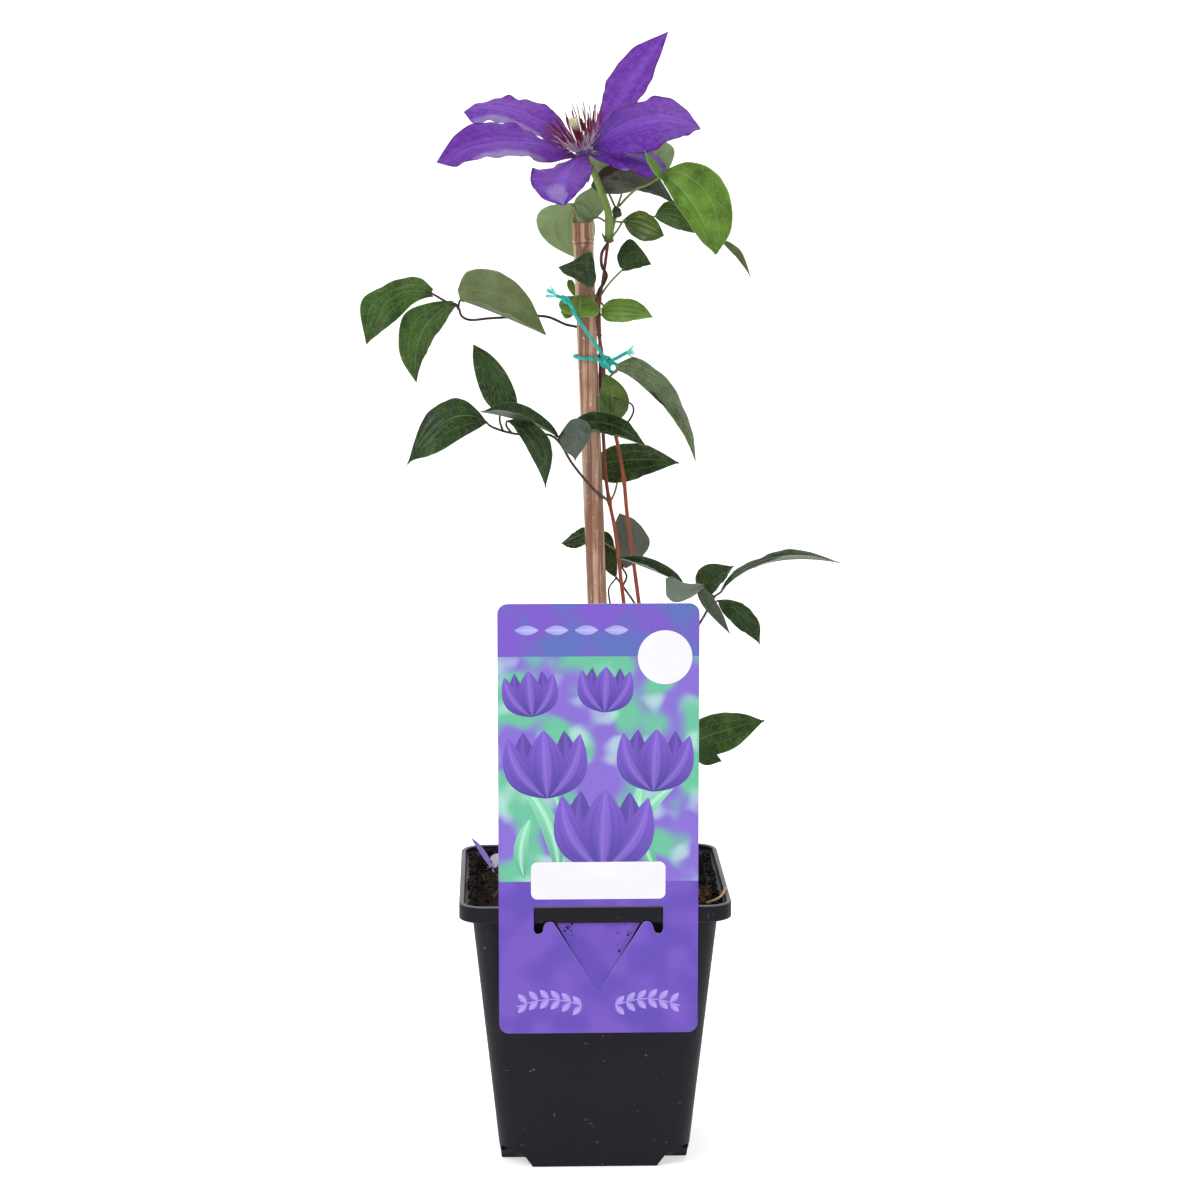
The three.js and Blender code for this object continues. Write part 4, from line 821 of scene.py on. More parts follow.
def midrib(form, t):
    base, mid, tip = (Vector(form[k]) for k in ("base", "mid", "tip"))
    control = mid * 2 - (base + tip) / 2
    return base * (1 - t) ** 2 + control * (2 * t * (1 - t)) + tip * t * t


def grid_normals(grid):
    # Upward direction at each point of a blade, row after row
    rows, columns = len(grid), len(grid[0])
    normals = []
    for i in range(rows):
        for j in range(columns):
            along = grid[min(i + 1, rows - 1)][j] - grid[max(i - 1, 0)][j]
            across = grid[i][min(j + 1, columns - 1)] - grid[i][max(j - 1, 0)]
            normals.append(across.cross(along).normalized())
    return normals


def blade(form, relief, rows, thick, wave=0.0, seed=0.0, spots=(), pale=()):
    # Thin blade: relief gives the places across it, from midrib to edge, and how far each stands up
    places = [(-u, h) for u, h in reversed(relief) if u > 0] + list(relief)
    grid = []
    for i in range(rows + 1):
        t = i / rows
        left = edge_step(form["left"], t, form)
        right = edge_step(form["right"], t, form)
        middle = midrib(form, t)
        grid.append([middle + (left if u < 0 else right) * abs(u) for u, _ in places])
    normals = grid_normals(grid)
    for i, row in enumerate(grid):
        t = i / rows
        half = (row[-1] - row[0]).length / 2
        size = clamp(half / 9) * math.sin(math.pi * clamp(t, 0.02, 0.98)) ** 0.5
        for j, (u, height) in enumerate(places):
            lift = height * size + ripple(t, u, wave, seed) * clamp(half / 8)
            row[j] += normals[i * len(places) + j] * lift
    return plate(grid, [u for u, _ in places], thick, spots, pale)


def ripple(t, u, wave, seed):
    # Waved edge, stronger towards the rim, with small crinkles along it and a slow swell over the blade
    turn = 2.6 if u < 0 else 3.1
    edge = math.sin(math.tau * (turn * t + seed + (0.3 if u < 0 else 0))) * abs(u) ** 3
    fine = math.sin(math.tau * (7.3 * t + 2 * seed + 0.2 * u)) * abs(u) ** 4 * 0.5
    crinkle = noise.noise(Vector((t * 17, u * 2.2, seed * 9))) * abs(u) ** 2 * 0.9
    return wave * (edge + fine + crinkle) * math.sin(math.pi * t) ** 0.6


def plate(grid, across_places, thick, spots, pale):
    # Both faces and the rim of a thin blade; it thins towards its edge
    rows, columns = len(grid), len(across_places)
    normals = grid_normals(grid)
    upper, lower, along, across, brown, faded = [], [], [], [], [], []
    for i in range(rows):
        for j, u in enumerate(across_places):
            half = thick / 2 * (1 - 0.45 * abs(u) ** 6)
            upper.append(grid[i][j] + normals[i * columns + j] * half)
            lower.append(grid[i][j] - normals[i * columns + j] * half)
            along.append(i / (rows - 1))
            across.append(u)
            brown.append(spot_at(spots, i / (rows - 1), u))
            faded.append(spot_at(pale, i / (rows - 1), u))
    faces = plate_faces(rows, columns)
    marks = {
        "along": along * 2,
        "across": across * 2,
        "brown": brown * 2,
        "pale": faded * 2,
        "upper": [1.0] * len(upper) + [0.0] * len(lower),
    }
    return upper + lower, faces, marks


def plate_faces(rows, columns):
    under = rows * columns
    faces = []
    for i in range(rows - 1):
        for j in range(columns - 1):
            a = i * columns + j
            d = a + columns
            faces.append([a, a + 1, d + 1, d])
            faces.append([under + a, under + d, under + d + 1, under + a + 1])
    rim = list(range(columns - 1))
    rim += [i * columns + columns - 1 for i in range(rows - 1)]
    rim += [(rows - 1) * columns + j for j in range(columns - 1, 0, -1)]
    rim += [i * columns for i in range(rows - 1, 0, -1)]
    for k, a in enumerate(rim):
        b = rim[(k + 1) % len(rim)]
        faces.append([a, under + a, under + b, b])
    return faces


def spot_at(spots, t, u):
    # How strong the listed spots are here; each has its place along, its place across and its size
    most = 0.0
    for place_t, place_u, size in spots:
        away = math.hypot(t - place_t, (u - place_u) * 0.4)
        most = max(most, smooth(1.5 - away / size))
    return most


# Finishes
def linear(channel):
    return channel / 12.92 if channel <= 0.04045 else ((channel + 0.055) / 1.055) ** 2.4


def paint(code):
    # sRGB hex to the linear colour that the shader wants
    channels = (int(code[k : k + 2], 16) / 255 for k in (1, 3, 5))
    return (*(linear(c) for c in channels), 1.0)


def per_mm(size):
    # Texture scale that gives a pattern this many millimetres wide
    return 1000 / size


def new_finish(name, roughness, ior, **sockets):
    # New material; its constants are set on the shader's own sockets
    finish = bpy.data.materials.new(name)
    finish.use_nodes = True
    shader = finish.node_tree.nodes["Principled BSDF"]
    shader.inputs["Roughness"].default_value = roughness
    shader.inputs["IOR"].default_value = ior
    for socket, value in sockets.items():
        shader.inputs[socket.replace("_", " ")].default_value = value
    return finish, finish.node_tree, shader


def add_node(tree, kind, sockets=None, out=None, **settings):
    # Adds a node, sets or links its sockets, and returns the output that is named or comes first
    node = tree.nodes.new("ShaderNode" + kind)
    for name, value in settings.items():
        setattr(node, name, value)
    for socket, value in (sockets or {}).items():
        if isinstance(value, bpy.types.NodeSocket):
            tree.links.new(value, node.inputs[socket])
        else:
            node.inputs[socket].default_value = paint(value) if isinstance(value, str) else value
    return node.outputs[out] if out else next(o for o in node.outputs if o.enabled)


def dress(tree, shader, colour, height, depth, roughness=None):
    # Joins the colour, the relief of this depth in millimetres and the roughness to the shader
    bump = add_node(tree, "Bump", {"Height": height, "Distance": depth * MM})
    tree.links.new(colour, shader.inputs["Base Color"])
    tree.links.new(bump, shader.inputs["Normal"])
    if roughness is not None:
        tree.links.new(roughness, shader.inputs["Roughness"])


def mottle(tree, size, detail=3.0, stretch=(1, 1, 1), shift=0.0):
    # Clouded pattern in the part's own frame, with patches of this size in millimetres
    place = add_node(tree, "TexCoord", out="Object")
    sockets = {"Vector": place, "Location": (shift, shift, shift), "Scale": stretch}
    place = add_node(tree, "Mapping", sockets)
    return add_node(tree, "TexNoise", {"Vector": place, "Scale": per_mm(size), "Detail": detail})


def tint_by(tree, colour, tint, pattern, span, shares=(0, 1), step="SMOOTHSTEP"):
    # Mixes a tint into the colour: its share runs from first to last while the pattern crosses the span
    sockets = {0: pattern, 1: span[0], 2: span[1], 3: shares[0], 4: shares[1]}
    share = add_node(tree, "MapRange", sockets, interpolation_type=step)
    return add_node(tree, "Mix", {0: share, 6: colour, 7: tint}, data_type="RGBA")


def height_here(tree):
    # Height above the ground, in metres
    place = add_node(tree, "TexCoord", out="Object")
    return add_node(tree, "SeparateXYZ", {0: place}, out="Z")


def off_midrib(tree):
    # Distance from a blade's midrib: 0 on it and 1 at the edge
    across = add_node(tree, "Attribute", out="Fac", attribute_name="across")
    return add_node(tree, "Math", {0: across}, operation="ABSOLUTE")


# Finishes of the pot and the peat
def moulded_polypropylene():
    # Moulded black polypropylene: a dull satin skin, clouded by dust, with pale scuffs, and a painted
    # highlight along the top of the lip
    finish, tree, shader = new_finish("black_polypropylene", 0.5, 1.49, Specular_IOR_Level=0.2)
    dust = mottle(tree, 22, 5)
    scuffs = mottle(tree, 3.5, 6, shift=3)
    colour = tint_by(tree, "#0b0b15", "#171723", dust, (0.35, 0.75), (0, 0.6), "LINEAR")
    colour = tint_by(tree, colour, "#454550", scuffs, (0.68, 0.74))
    # Painted highlight: the top of the lip is tinted pale grey, for the light that falls on it from above
    lip_top_highlight = ((POT_HEIGHT - 0.7) * MM, (POT_HEIGHT - 0.2) * MM)
    colour = tint_by(tree, colour, "#77757f", height_here(tree), lip_top_highlight, (0, 0.8), "LINEAR")
    rough = add_node(tree, "MapRange", {0: dust, 3: 0.42, 4: 0.66})
    drawn = mottle(tree, 2.2, 4, (1, 1, 0.08))
    skin = mottle(tree, 0.8, 2)
    relief = add_node(tree, "Math", {0: skin, 1: drawn}, operation="ADD")
    dress(tree, shader, colour, relief, 0.05, rough)
    return finish


def peat_in_painted_shade():
    # Milled peat: crumbly and matt, reddish where the fibre shows; its dark brown tints are darkened to near
    # black as painted shade for the pot's shadowed inside, darkest in the hollows of its relief
    finish, tree, shader = new_finish("peat_in_painted_shade", 0.95, 1.4, Specular_IOR_Level=0.25)
    crumb = mottle(tree, 1.6, 6)
    patch = mottle(tree, 9, 3)
    # Painted shade: both tints, and the crumb tint below, are darkened to near black for the shadow inside
    # the pot
    colour = add_node(tree, "Mix", {0: patch, 6: "#0e0a08", 7: "#241812"}, data_type="RGBA")
    colour = tint_by(tree, colour, "#4a3322", crumb, (0.58, 0.76))
    dress(tree, shader, colour, crumb, 0.7)
    return finish


def streaked(name, deep, pale, size, depth, roughness, detail=2, stretch=(1, 1, 1), specular=0.3):
    # Dry plant matter: matt, streaked from a deep to a pale tint, and rough by the same streaks
    finish, tree, shader = new_finish(name, roughness, 1.4, Specular_IOR_Level=specular)
    tone = mottle(tree, size, detail, stretch)
    colour = add_node(tree, "Mix", {0: tone, 6: deep, 7: pale}, data_type="RGBA")
    dress(tree, shader, colour, tone, depth)
    return finish


def peat_fibre():
    # Sphagnum and root fibre: thin red-brown to straw strands
    return streaked("peat_fibre", "#2a160f", "#8a6040", 6, 0.1, 0.85)


# Finishes of the cane
def bamboo():
    # Dried bamboo: pale skin with long fibres, brown water stains and pale flecks
    finish, tree, shader = new_finish("dried_bamboo", 0.34, 1.5, Specular_IOR_Level=0.5)
    fibre = mottle(tree, 0.7, 4, (1, 1, 0.03))
    band = mottle(tree, 2.4, 3, (1, 1, 0.025), 5)
    stain = mottle(tree, 9, 4, (1, 1, 0.3), 9)
    fleck = mottle(tree, 1.1, 3, (1, 1, 0.45), 2)
    colour = add_node(tree, "Mix", {0: fibre, 6: "#7d5038", 7: "#e6bf9f"}, data_type="RGBA")
    colour = tint_by(tree, colour, "#633620", band, (0.47, 0.57), (0, 0.8))
    colour = tint_by(tree, colour, "#80492c", stain, (0.52, 0.66), (0, 0.7))
    colour = tint_by(tree, colour, "#e6cfae", fleck, (0.66, 0.7), (0, 0.85), "LINEAR")
    dress(tree, shader, colour, fibre, 0.2)
    return finish


def cut_bamboo():
    # Sawn end and splinter of the cane: grey-brown, open and rough
    finish, tree, shader = new_finish("sawn_bamboo", 0.9, 1.5, Specular_IOR_Level=0.2)
    pore = mottle(tree, 0.6, 3)
    colour = add_node(tree, "Mix", {0: pore, 6: "#4b382c", 7: "#a08468"}, data_type="RGBA")
    dress(tree, shader, colour, pore, 0.3)
    return finish


# Finishes of the label
def card_core():
    # Cut edge and bare back of the printed plastic card: opaque white
    finish, tree, shader = new_finish("white_card", 0.42, 1.5)
    tone = mottle(tree, 14, 2)
    colour = add_node(tree, "Mix", {0: tone, 6: "#dedbe8", 7: "#ebe9f2"}, data_type="RGBA")
    dress(tree, shader, colour, tone, 0.05)
    return finish


def printed_ground():
    # Offset print under a gloss film: header band, blurred mint and violet picture ground, lower band
    finish, tree, shader = new_finish("printed_ground", 0.4, 1.5, Coat_Weight=0.1, Coat_Roughness=0.2)
    height = height_here(tree)
    blur = mottle(tree, 26, 1, shift=1)
    picture = tint_by(tree, "#5cb491", "#7a5fc4", blur, (0.45, 0.57))
    light = mottle(tree, 15, 1, shift=4)
    picture = tint_by(tree, picture, "#b7dfd6", light, (0.5, 0.7), (0, 0.6))
    tone = mottle(tree, 18, 1, shift=7)
    header = tint_by(tree, "#4c62ad", "#6f49bb", tone, (0.35, 0.65))
    footer = tint_by(tree, "#5436aa", "#6844b6", tone, (0.35, 0.65))
    edge = ((HEADER_Z - BAND_EDGE) * MM, (HEADER_Z + BAND_EDGE) * MM)
    colour = tint_by(tree, picture, header, height, edge, step="LINEAR")
    edge = ((FOOTER_Z - BAND_EDGE) * MM, (FOOTER_Z + BAND_EDGE) * MM)
    colour = tint_by(tree, footer, colour, height, edge, step="LINEAR")
    dress(tree, shader, colour, mottle(tree, 40, 1), 0.2)
    return finish


def printed_ink(name, deep, pale, streak):
    # One printed motif under the film: from a deep to a pale tint, with a streak along its middle
    finish, tree, shader = new_finish(name, 0.4, 1.5, Coat_Weight=0.1, Coat_Roughness=0.2)
    along = add_node(tree, "Attribute", out="Fac", attribute_name="along")
    across = add_node(tree, "Attribute", out="Fac", attribute_name="across")
    colour = add_node(tree, "Mix", {0: along, 6: deep, 7: pale}, data_type="RGBA")
    colour = tint_by(tree, colour, streak, off_midrib(tree), (0, 0.45), (0.7, 0))
    line = add_node(tree, "Math", {0: across, 1: 19}, operation="MULTIPLY")
    line = add_node(tree, "Math", {0: line}, operation="SINE")
    colour = tint_by(tree, colour, deep, line, (0.4, 1), (0, 0.28), "LINEAR")
    dress(tree, shader, colour, mottle(tree, 40, 1), 0.2)
    return finish


# Finishes of the tie
def elastic_cord():
    # Braided elastic cord: turquoise yarn over a rubber core, soft and matt, with darker gaps in the braid
    finish, tree, shader = new_finish("elastic_cord", 0.75, 1.5, Sheen_Weight=0.3, Specular_IOR_Level=0.3)
    tone = mottle(tree, 1.2, 2)
    place = add_node(tree, "TexCoord", out="Object")
    sockets = {"Vector": place, "Scale": per_mm(5), "Distortion": 1.5}
    braid = add_node(tree, "TexWave", sockets, out="Fac", bands_direction="DIAGONAL")
    colour = add_node(tree, "Mix", {0: tone, 6: "#078a84", 7: "#17c4ae"}, data_type="RGBA")
    colour = tint_by(tree, colour, "#064e55", braid, (0, 0.6), (0.45, 0), "LINEAR")
    dress(tree, shader, colour, braid, 0.15)
    return finish


def frayed_yarn():
    # Loose ends of the braid: paler, softer yarn
    finish, tree, shader = new_finish("frayed_yarn", 0.85, 1.5, Sheen_Weight=0.4, Specular_IOR_Level=0.2)
    tone = mottle(tree, 1.5, 2)
    colour = add_node(tree, "Mix", {0: tone, 6: "#35b9b4", 7: "#93e2dc"}, data_type="RGBA")
    dress(tree, shader, colour, tone, 0.1)
    return finish


# Finishes of stems and stalks
def woody_stem(name, low, high, turn_z):
    # Clematis stem: ribbed bark with lighter ribs, one tint below this height and another above it
    finish, tree, shader = new_finish(name, 0.55, 1.45, Specular_IOR_Level=0.35)
    change = ((turn_z - 30) * MM, (turn_z + 30) * MM)
    colour = tint_by(tree, low, high, height_here(tree), change, step="LINEAR")
    bark = mottle(tree, 0.9, 4, (1, 1, 0.12))
    colour = tint_by(tree, colour, "#c07850", bark, (0.5, 0.75), (0, 0.45))
    dress(tree, shader, colour, bark, 0.15)
    return finish


def green_stalk(name, deep, pale):
    # Young stalk: smooth, slightly waxy, streaked along its length
    finish, tree, shader = new_finish(name, 0.45, 1.42, Subsurface_Weight=0.05)
    streak = mottle(tree, 1.3, 3, (1, 1, 0.2))
    colour = add_node(tree, "Mix", {0: streak, 6: deep, 7: pale}, data_type="RGBA")
    withered = add_node(tree, "Attribute", out="Fac", attribute_name="brown")
    colour = add_node(tree, "Mix", {0: withered, 6: colour, 7: "#4a2f20"}, data_type="RGBA")
    dress(tree, shader, colour, streak, 0.08)
    return finish


# Finishes of the leaves
def vein_share(tree, mesh):
    # How much of a vein is here: midrib, a strong pair beside it, and a wide and a fine net between them
    side = off_midrib(tree)
    rib = add_node(tree, "MapRange", {0: side, 2: 0.05, 3: 1, 4: 0}, interpolation_type="SMOOTHSTEP")
    pair = add_node(tree, "Math", {0: side, 1: 0.46}, operation="SUBTRACT")
    pair = add_node(tree, "Math", {0: pair}, operation="ABSOLUTE")
    pair = add_node(tree, "MapRange", {0: pair, 2: 0.03, 3: 0.6, 4: 0}, interpolation_type="SMOOTHSTEP")
    most = add_node(tree, "Math", {0: rib, 1: pair}, operation="MAXIMUM")
    place = add_node(tree, "TexCoord", out="Object")
    drift = add_node(tree, "TexNoise", {"Vector": place, "Scale": per_mm(7), "Detail": 2}, out="Color")
    sockets = {0: 0.006, 6: place, 7: drift}
    place = add_node(tree, "Mix", sockets, data_type="RGBA", blend_type="ADD")
    for size, width, strength in ((mesh * 2.4, 0.045, 0.5), (mesh, 0.12, 0.12)):
        sockets = {"Vector": place, "Scale": per_mm(size)}
        net = add_node(tree, "TexVoronoi", sockets, feature="DISTANCE_TO_EDGE")
        sockets = {0: net, 2: width, 3: strength, 4: 0}
        net = add_node(tree, "MapRange", sockets, interpolation_type="SMOOTHSTEP")
        most = add_node(tree, "Math", {0: most, 1: net}, operation="MAXIMUM")
    return most


def with_veins(tree, colour, veins, strength, tint):
    share = add_node(tree, "Math", {0: veins, 1: strength}, operation="MULTIPLY")
    return add_node(tree, "Mix", {0: share, 6: colour, 7: tint}, data_type="RGBA")


def leaf_skin(name, deep, light, vein, under, roughness=0.42):
    # Living leaf: a leathery, faintly waxy upper side with pale veins, and a matt, paler underside
    finish, tree, shader = new_finish(name, roughness, 1.45, Subsurface_Weight=0.03)
    shader.inputs["Specular IOR Level"].default_value = 0.3
    veins = vein_share(tree, 1.7)
    top = tint_by(tree, deep, light, mottle(tree, 9, 5), (0.35, 0.65), step="LINEAR")
    top = with_veins(tree, top, veins, 0.42, vein)
    cloud = mottle(tree, 5, 4, shift=2)
    low = tint_by(tree, under, light, cloud, (0.35, 0.7), (0, 0.45), "LINEAR")
    low = with_veins(tree, low, veins, 0.25, vein)
    upper = add_node(tree, "Attribute", out="Fac", attribute_name="upper")
    colour = add_node(tree, "Mix", {0: upper, 6: low, 7: top}, data_type="RGBA")
    colour = tint_by(tree, colour, vein, off_midrib(tree), (0.95, 1), (0, 0.6), "LINEAR")
    withered = add_node(tree, "Attribute", out="Fac", attribute_name="brown")
    ragged = mottle(tree, 1.6, 4)
    withered = add_node(tree, "Math", {0: withered, 1: ragged}, operation="MULTIPLY")
    colour = tint_by(tree, colour, "#2c1d14", withered, (0.2, 0.4))
    relief = add_node(tree, "Math", {0: veins, 1: -1}, operation="MULTIPLY")
    dress(tree, shader, colour, relief, 0.15)
    return finish


# Finishes of the flower
def running_lines(tree, count, wander, drift):
    # Lines that run with the blade, bent by the wander: 0 on a line and 0.5 halfway to the next
    across = add_node(tree, "Attribute", out="Fac", attribute_name="across")
    lines = add_node(tree, "Math", {0: across, 1: count}, operation="MULTIPLY")
    lines = add_node(tree, "Math", {0: wander, 1: drift, 2: lines}, operation="MULTIPLY_ADD")
    return add_node(tree, "Math", {0: lines, 1: 0.5}, operation="PINGPONG")


def tepal_veins(tree, wander):
    # Darker veins, strong in some places and faint in others
    lines = running_lines(tree, 9, wander, 2.2)
    lines = add_node(tree, "MapRange", {0: lines, 2: 0.22, 3: 0.6, 4: 0}, interpolation_type="SMOOTHSTEP")
    strong = add_node(tree, "MapRange", {0: mottle(tree, 6, 2, shift=8), 1: 0.35, 2: 0.65, 3: 0.25, 4: 1})
    return add_node(tree, "Math", {0: lines, 1: strong}, operation="MULTIPLY")


def faded_share(tree, wander):
    # How faded the tepal is here, in streaks that run with it
    faded = add_node(tree, "Attribute", out="Fac", attribute_name="pale")
    streak = running_lines(tree, 21, wander, 4)
    streak = add_node(tree, "MapRange", {0: streak, 2: 0.5, 3: 0.05, 4: 1})
    return add_node(tree, "Math", {0: faded, 1: streak}, operation="MULTIPLY")


def tepal_skin():
    # Petal-like sepal: velvety violet, darker veins that run with it, a lighter middle, a paler underside
    finish, tree, shader = new_finish("violet_tepal", 0.5, 1.4, Subsurface_Weight=0.05)
    shader.inputs["Specular IOR Level"].default_value = 0.22
    along = add_node(tree, "Attribute", out="Fac", attribute_name="along")
    upper = add_node(tree, "Attribute", out="Fac", attribute_name="upper")
    withered = add_node(tree, "Attribute", out="Fac", attribute_name="brown")
    side = off_midrib(tree)
    wander = mottle(tree, 4, 3)
    veins = tepal_veins(tree, wander)
    top = tint_by(tree, "#380d74", "#7236be", mottle(tree, 2.6, 4), (0.15, 0.85), step="LINEAR")
    top = tint_by(tree, top, "#763fc2", side, (0, 0.42), (0.55, 0))
    top = add_node(tree, "Mix", {0: veins, 6: top, 7: "#2c0a62"}, data_type="RGBA")
    top = tint_by(tree, top, "#3d1058", along, (0, 0.16), (0.75, 0))
    top = tint_by(tree, top, "#3a0c48", side, (0.92, 0.98), (0, 0.9), "LINEAR")
    low = tint_by(tree, "#6f5f9e", "#a79fb8", side, (0, 0.5), (0.8, 0.1))
    low = add_node(tree, "Mix", {0: veins, 6: low, 7: "#54407f"}, data_type="RGBA")
    colour = add_node(tree, "Mix", {0: upper, 6: low, 7: top}, data_type="RGBA")
    colour = tint_by(tree, colour, "#a193c6", faded_share(tree, wander), (0.12, 0.8), (0, 0.75), "LINEAR")
    colour = add_node(tree, "Mix", {0: withered, 6: colour, 7: "#7d7a4e"}, data_type="RGBA")
    crinkle = mottle(tree, 1.7, 3, shift=4)
    relief = add_node(tree, "Math", {0: veins, 1: -0.6, 2: crinkle}, operation="MULTIPLY_ADD")
    dress(tree, shader, colour, relief, 0.28)
    return finish


def stamen_skin(name, root, top, span=(0, 1)):
    # Stamen or style: soft matt tissue that turns from one tint to another over this span of its length
    finish, tree, shader = new_finish(name, 0.6, 1.4, Subsurface_Weight=0.1)
    along = add_node(tree, "Attribute", out="Fac", attribute_name="along")
    colour = tint_by(tree, root, top, along, span, step="LINEAR")
    dress(tree, shader, colour, mottle(tree, 0.8, 2), 0.05)
    return finish


# Finishes of the litter
def dry_litter(name, deep, pale):
    # Dead plant matter: faded, papery, streaked along its length
    return streaked(name, deep, pale, 1.4, 0.2, 0.85, 4, specular=0.25)


def studio_paper():
    # Seamless backdrop paper: plain, white and matt, lit a little from within so that it stays white
    finish, tree, shader = new_finish("backdrop_paper", 0.95, 1.4, Specular_IOR_Level=0.1)
    shader.inputs["Emission Strength"].default_value = PAPER_GLOW
    tone = mottle(tree, 60, 1)
    colour = add_node(tree, "Mix", {0: tone, 6: "#f2f2f2", 7: "#f6f6f6"}, data_type="RGBA")
    dress(tree, shader, colour, tone, 0.02)
    return finish


# Camera and studio
def make_camera():
    view = bpy.data.cameras.new("camera")
    view.lens = CAMERA_LENS
    view.sensor_width = CAMERA_SENSOR
    view.clip_end = 30
    camera = bpy.data.objects.new("camera", view)
    camera.location = Vector(CAMERA_PLACE) * MM
    turn = (math.radians(90 - CAMERA_PITCH), 0, math.radians(-CAMERA_YAW))
    camera.rotation_euler = turn
    bpy.context.scene.collection.objects.link(camera)
    bpy.context.scene.camera = camera


def softbox(name, place, target, size, power):
    lamp = bpy.data.lights.new(name, "AREA")
    lamp.shape = "DISK"
    lamp.size = size
    lamp.energy = power
    light = bpy.data.objects.new(name, lamp)
    light.location = Vector(place)
    light.rotation_euler = (Vector(target) - light.location).to_track_quat("-Z", "Y").to_euler()
    bpy.context.scene.collection.objects.link(light)


def make_studio():
    # White paper sweep: flat under the pot, curved up behind it
    profile = [(PAPER_NEAR, 0.0), (PAPER_BEND, 0.0)]
    for k in range(1, 17):
        angle = k / 16 * math.pi / 2
        away = PAPER_BEND + PAPER_RADIUS * math.sin(angle)
        profile.append((away, PAPER_RADIUS - PAPER_RADIUS * math.cos(angle)))
    profile.append((PAPER_BEND + PAPER_RADIUS, PAPER_TOP))
    points = [(x, y, z) for x in (-PAPER_HALF, PAPER_HALF) for y, z in profile]
    count = len(profile)
    faces = [[k, k + 1, count + k + 1, count + k][::-1] for k in range(count - 1)]
    mesh = bpy.data.meshes.new("paper_sweep")
    mesh.from_pydata(points, [], faces)
    mesh.materials.append(studio_paper())
    mesh.polygons.foreach_set("use_smooth", [True] * len(faces))
    sweep = bpy.data.objects.new("paper_sweep", mesh)
    bpy.context.scene.collection.objects.link(sweep)


def make_light():
    world = bpy.data.worlds.new("studio")
    world.use_nodes = True
    sky = world.node_tree.nodes["Background"]
    sky.inputs["Color"].default_value = paint("#ffffff")
    sky.inputs["Strength"].default_value = WORLD_STRENGTH
    bpy.context.scene.world = world
    bpy.context.scene.view_settings.view_transform = "Standard"
    for box in SOFTBOXES:
        softbox(*box)


# Pot
def inner_half(z):
    # Half the width of the pot's inside at this height
    share = (z - FLOOR_TOP) / (SKIRT_BOTTOM - FLOOR_TOP)
    return blend(BODY_LOW_HALF, BODY_TOP_HALF - 0.4, share) - WALL


def pot_wall():
    # Outside from the floor to the lip, over it, and down the inside to the floor again
    lip_in = RIM_HALF - LIP_WIDTH
    skirt_in = RIM_HALF - SKIRT_WALL
    steps = [
        (BODY_LOW_HALF - 1.6, BODY_CORNER - 1, FLOOR_UNDER),
        (BODY_LOW_HALF - 0.7, BODY_CORNER, FLOOR_UNDER + 0.5),
        (BODY_LOW_HALF - 0.3, BODY_CORNER, FLOOR_UNDER + 1.4),
        (BODY_LOW_HALF - 0.25, BODY_CORNER, 9.4),
        (BODY_LOW_HALF + 0.05, BODY_CORNER, 9.7),
        (BODY_LOW_HALF + 0.1, BODY_CORNER, 10.2),
        (BODY_TOP_HALF, BODY_CORNER, RIM_LEDGE),
        (skirt_in, RIM_CORNER - SKIRT_WALL, RIM_LEDGE),
        (skirt_in, RIM_CORNER - SKIRT_WALL, SKIRT_BOTTOM + 0.3),
        (skirt_in + 0.3, RIM_CORNER - SKIRT_WALL, SKIRT_BOTTOM),
        (RIM_HALF - 0.4, RIM_CORNER, SKIRT_BOTTOM),
        (RIM_HALF, RIM_CORNER, SKIRT_BOTTOM + 0.4),
        (RIM_HALF, RIM_CORNER, POT_HEIGHT - 0.9),
        (RIM_HALF - 0.2, RIM_CORNER, POT_HEIGHT - 0.3),
        (RIM_HALF - 0.7, RIM_CORNER - 0.6, POT_HEIGHT),
        (lip_in + 0.6, RIM_CORNER - 1.6, POT_HEIGHT),
        (lip_in + 0.1, RIM_CORNER - 2, POT_HEIGHT - 0.3),
        (lip_in, RIM_CORNER - 2, POT_HEIGHT - 0.8),
        (lip_in, RIM_CORNER - 2, RIM_LEDGE + 2.2),
        (lip_in - 0.5, RIM_CORNER - 2, RIM_LEDGE + 1.6),
        (inner_half(RIM_LEDGE + 1.2) + 0.4, BODY_CORNER - WALL, RIM_LEDGE + 1.3),
        (inner_half(RIM_LEDGE), BODY_CORNER - WALL, RIM_LEDGE + 0.6),
        (inner_half(FLOOR_TOP + 1), BODY_CORNER - WALL, FLOOR_TOP + 1),
        (inner_half(FLOOR_TOP) - 1, BODY_CORNER - WALL, FLOOR_TOP),
    ]
    return loft([square_ring(*step) for step in steps])


def foot_arm(along):
    # One bar of the cross under the floor, with a bevel at its ground edge
    long = BODY_LOW_HALF - 0.6
    rings = []
    for wide, reach, z in [
        (FOOT_HALF - 0.8, long - 1.2, 0),
        (FOOT_HALF, long - 0.6, 0.5),
        (FOOT_HALF + 0.4, long - 0.4, 1.4),
        (FOOT_ROOT_HALF - 1, long - 0.1, FLOOR_UNDER - 0.7),
        (FOOT_ROOT_HALF, long, FLOOR_UNDER),
        (FOOT_ROOT_HALF, long, FLOOR_UNDER + 0.8),
    ]:
        corners = [(-reach, -wide), (reach, -wide), (reach, wide), (-reach, wide)]
        rings.append([Vector((a if along else b, b if along else -a, z)) for a, b in corners])
    return loft(rings)


def rough_shape(name, points, faces):
    mesh = bpy.data.meshes.new(name)
    mesh.from_pydata([p * MM for p in points], [], faces)
    shape = bpy.data.objects.new(name, mesh)
    bpy.context.scene.collection.objects.link(shape)
    return shape


